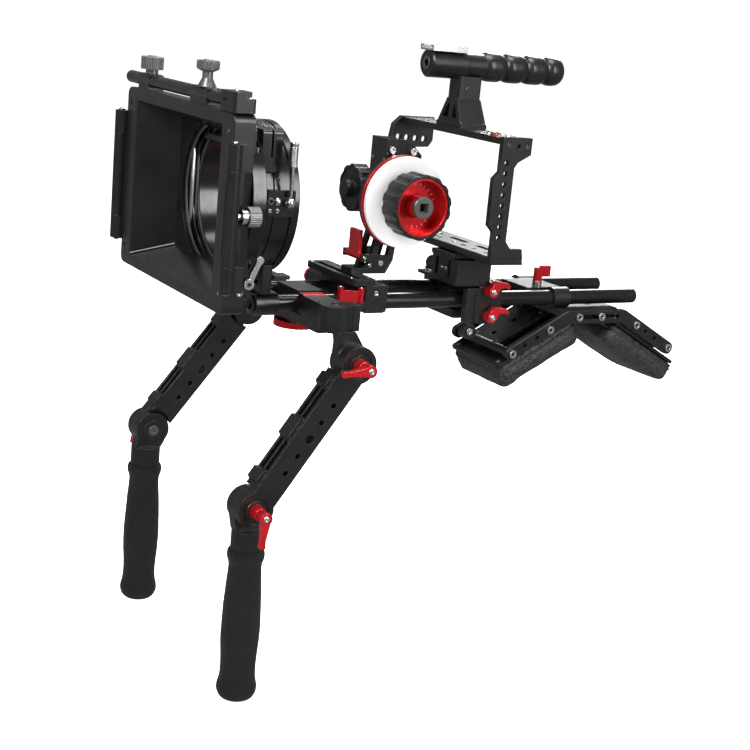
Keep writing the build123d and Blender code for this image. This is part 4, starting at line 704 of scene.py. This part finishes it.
# ------------------------------------------------------------ leather cushions
def cushion(name, plane, x0, x1, half, depth):
    """Padded leather cushion: an inflated shell pinned to its plate."""
    tmp = bmesh.new()
    bmesh.ops.create_cube(tmp, size=1.0)
    bmesh.ops.subdivide_edges(tmp, edges=list(tmp.edges), cuts=1, use_grid_fill=True)
    L, W, D = (x1 - x0), 2 * half, depth
    for v in tmp.verts:
        v.co = Vector((v.co.x * L, v.co.y * W, v.co.z * D))
    up_edges = [e for e in tmp.edges if abs(abs(e.verts[0].co.x) - L / 2) < 1e-3 and abs(abs(e.verts[1].co.x) - L / 2) < 1e-3
                and abs(abs(e.verts[0].co.y) - W / 2) < 1e-3 and abs(abs(e.verts[1].co.y) - W / 2) < 1e-3]
    bmesh.ops.bevel(tmp, geom=up_edges, offset=8.0, segments=5, affect="EDGES", profile=0.5)
    low = [e for e in tmp.edges if e.verts[0].co.z > D / 2 - 1e-3 and e.verts[1].co.z > D / 2 - 1e-3 and len(e.link_faces) == 2
           and abs(e.link_faces[0].normal.dot(e.link_faces[1].normal)) < 0.5]
    bmesh.ops.bevel(tmp, geom=low, offset=5.0, segments=4, affect="EDGES", profile=0.5)
    for v in tmp.verts:
        v.co = on_pad(plane, (x0 + x1) / 2 + v.co.x, v.co.y, 3.1 + D / 2 + v.co.z)
    bmesh.ops.recalc_face_normals(tmp, faces=list(tmp.faces))
    me = bpy.data.meshes.new(name)
    tmp.to_mesh(me)
    tmp.free()
    o = bpy.data.objects.new(name, me)
    bpy.context.scene.collection.objects.link(o)
    o.modifiers.new("remesh", "REMESH").mode = "VOXEL"
    o.modifiers["remesh"].voxel_size = 0.0045
    dg = bpy.context.evaluated_depsgraph_get()
    base = bpy.data.meshes.new_from_object(o.evaluated_get(dg))
    o.modifiers.clear()
    o.data = base
    (oy, oz), ax, nn = plane
    origin, down = P(0, oy, oz), Vector((0, nn[0], nn[1]))
    along_v = Vector((0, ax[0], ax[1]))
    rest = [v.co.copy() for v in base.vertices]
    depth_of = [(c - origin).dot(down) * 1000 for c in rest]
    g = o.vertex_groups.new(name="pin")
    for i, d in enumerate(depth_of):
        if d < 6.0:
            g.add([i], 1.0, "REPLACE")
    cl = o.modifiers.new("cloth", "CLOTH")
    cs = cl.settings
    cs.quality = 6
    cs.mass = 0.25
    cs.tension_stiffness = cs.compression_stiffness = 18
    cs.shear_stiffness = 8
    cs.bending_stiffness = 0.6
    cs.use_pressure = True
    cs.uniform_pressure_force = 4.0
    cs.vertex_group_mass = "pin"
    cs.effector_weights.gravity = 0.0
    sc = bpy.context.scene
    sc.frame_start, sc.frame_end = 1, 20
    for f in range(1, 21):
        sc.frame_set(f)
    dg = bpy.context.evaluated_depsgraph_get()
    sim = o.evaluated_get(dg)
    moved = [v.co.copy() for v in sim.data.vertices]
    o.modifiers.clear()
    sc.frame_set(1)
    worst = max((m_ - r).length for m_, r in zip(moved, rest))
    for i, v in enumerate(base.vertices):
        d = moved[i] - rest[i]
        lim = 0.0032
        if d.length > lim:
            d *= lim / d.length
        v.co = rest[i] + d
    print("cushion", name, "largest cloth motion mm", round(worst * 1000, 1))
    # leather pulled in along a sewn line a little below the plate, and slight sag wrinkles
    for i, v in enumerate(base.vertices):
        d = depth_of[i]
        c = v.co - origin
        q = Vector((c.dot(along_v) * 1000, c.x * 1000, 0))
        nrm = base.vertices[i].normal
        wob = noise.noise(v.co * 55.0) * 0.0005 + noise.noise(v.co * 150.0) * 0.00018
        v.co = v.co + nrm * (wob if d > 5.0 else 0.0)
        if 6.5 < d < 11.5:
            v.co = v.co - nrm * 0.0009 * (1 - abs(d - 9.0) / 2.5)
    base.materials.clear()
    base.materials.append(LEATHER)
    base.shade_smooth()
    sub = o.modifiers.new("sub", "SUBSURF")
    sub.levels = sub.render_levels = 1
    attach(o, "shoulder")
    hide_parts("shoulder_pads")
    # piping along the sewn line
    from mathutils.bvhtree import BVHTree
    tree = BVHTree.FromPolygons([v.co for v in base.vertices], [tuple(p_.vertices) for p_ in base.polygons])
    path = []
    n = 150
    cx, cl_, cw = (x0 + x1) / 2, (x1 - x0) / 2, half
    for k in range(n):
        t = 2 * math.pi * k / n
        c, s_ = math.cos(t), math.sin(t)
        e = 0.32
        px_ = cx + cl_ * (abs(c) ** e) * (1 if c > 0 else -1)
        py_ = cw * (abs(s_) ** e) * (1 if s_ > 0 else -1)
        far = on_pad(plane, px_ + (px_ - cx) * 0.6, py_ * 1.6, 9.0)
        mid = on_pad(plane, cx, 0, 9.0)
        hit = tree.ray_cast(far, (mid - far).normalized())
        if hit[0] is not None:
            path.append(hit[0])
    bm2 = bmesh.new()
    seg = 8
    rings = []
    m_n = len(path)
    for k in range(m_n):
        tangent = (path[(k + 1) % m_n] - path[k - 1]).normalized()
        side = tangent.cross(down).normalized()
        rings.append([bm2.verts.new(path[k] + (side * math.cos(2 * math.pi * j / seg) + down * math.sin(2 * math.pi * j / seg)) * 0.0011) for j in range(seg)])
    for k in range(m_n):
        a, b_ = rings[k], rings[(k + 1) % m_n]
        for j in range(seg):
            bm2.faces.new((a[j], a[(j + 1) % seg], b_[(j + 1) % seg], b_[j]))
    bmesh.ops.recalc_face_normals(bm2, faces=list(bm2.faces))
    me2 = bpy.data.meshes.new(name + "_piping")
    bm2.to_mesh(me2)
    bm2.free()
    me2.materials.append(LEATHER)
    me2.shade_smooth()
    w = bpy.data.objects.new(name + "_piping", me2)
    bpy.context.scene.collection.objects.link(w)
    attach(w, "shoulder")
    return o


cushion("front_cushion", FRONT, -17.0, 83.0, 42.6, 26.5)
cushion("rear_cushion", REAR, -28.0, 74.0, 42.6, 21.5)

# ------------------------------------------------------------ floor and light
floor_z = cad_lo.z - 0.0006
me = bpy.data.meshes.new("floor")
bm = bmesh.new()
bmesh.ops.create_circle(bm, cap_ends=True, radius=9.0, segments=96)
bm.to_mesh(me)
bm.free()
floor = bpy.data.objects.new("floor", me)
floor.location = (0, 0, floor_z)
bpy.context.scene.collection.objects.link(floor)
q = Mat("floor_pale")
fl = q.noise(3.0, 3.0, 0.5)
q.set(Base_Color=q.ramp(fl, [(0.3, (0.83, 0.83, 0.83)), (0.7, (0.85, 0.85, 0.85))]), Roughness=0.8, Specular_IOR_Level=0.1,
      Emission_Color=(1.0, 1.0, 1.0), Emission_Strength=0.86)
me.materials.append(q.m)
floor.visible_glossy = False

# white studio dome: seen behind the rig, but throws no light itself
me = bpy.data.meshes.new("dome")
bm = bmesh.new()
bmesh.ops.create_uvsphere(bm, u_segments=48, v_segments=24, radius=9.4)
bm.to_mesh(me)
bm.free()
dome = bpy.data.objects.new("dome", me)
bpy.context.scene.collection.objects.link(dome)
q = Mat("dome_white")
q.set(Base_Color=(0.0, 0.0, 0.0), Roughness=1.0, Specular_IOR_Level=0.0, Emission_Color=(1.0, 1.0, 1.0), Emission_Strength=1.02)
me.materials.append(q.m)
me.shade_smooth()
dome.visible_diffuse = dome.visible_glossy = dome.visible_transmission = dome.visible_shadow = dome.visible_volume_scatter = False

world = bpy.data.worlds.new("studio")
bpy.context.scene.world = world
world.use_nodes = True
bg = world.node_tree.nodes["Background"]
bg.inputs[0].default_value = (1.0, 1.0, 1.0, 1)
bg.inputs[1].default_value = 0.26


def area(name, at, look, size, watts, color=(1, 1, 1)):
    d = bpy.data.lights.new(name, "AREA")
    d.shape = "RECTANGLE"
    d.size, d.size_y = size
    d.energy = watts
    d.color = color
    o = bpy.data.objects.new(name, d)
    o.location = at
    o.rotation_euler = (Vector(look) - Vector(at)).to_track_quat("-Z", "Y").to_euler()
    bpy.context.scene.collection.objects.link(o)


area("key", (1.3, -2.0, 1.7), (0, -0.1, 0.0), (0.9, 1.3), 100)
area("fill", (2.4, 0.9, 1.0), (0, -0.05, 0.0), (0.45, 1.8), 52)
area("top", (0.1, 0.1, 2.4), (0, 0, 0.0), (1.4, 1.4), 66)
area("rim", (-1.8, 1.6, 1.5), (0, 0, 0.1), (0.9, 1.1), 50)

# -------------------------------------------------------------------- camera
az, el, roll = math.radians(59.18), math.radians(14.12), math.radians(5.39)
back = Vector((math.sin(az) * math.cos(el), -math.cos(az) * math.cos(el), math.sin(el)))
right = (-back).cross(Vector((0, 0, 1))).normalized()
up = right.cross(-back)
R = right * math.cos(roll) + up * math.sin(roll)
U = -right * math.sin(roll) + up * math.cos(roll)
cam_data = bpy.data.cameras.new("camera")
cam_data.lens = 69.67
cam_data.sensor_width = 36.0
cam_data.clip_start, cam_data.clip_end = 0.05, 100.0
cam = bpy.data.objects.new("camera", cam_data)
bpy.context.scene.collection.objects.link(cam)
m = Matrix((R, U, back)).transposed().to_4x4()
m.translation = P(1160.77, -692.27, 260.25)
cam.matrix_world = m
bpy.context.scene.camera = cam
bpy.context.scene.view_settings.view_transform = "Standard"
bpy.context.scene.view_settings.look = "None"
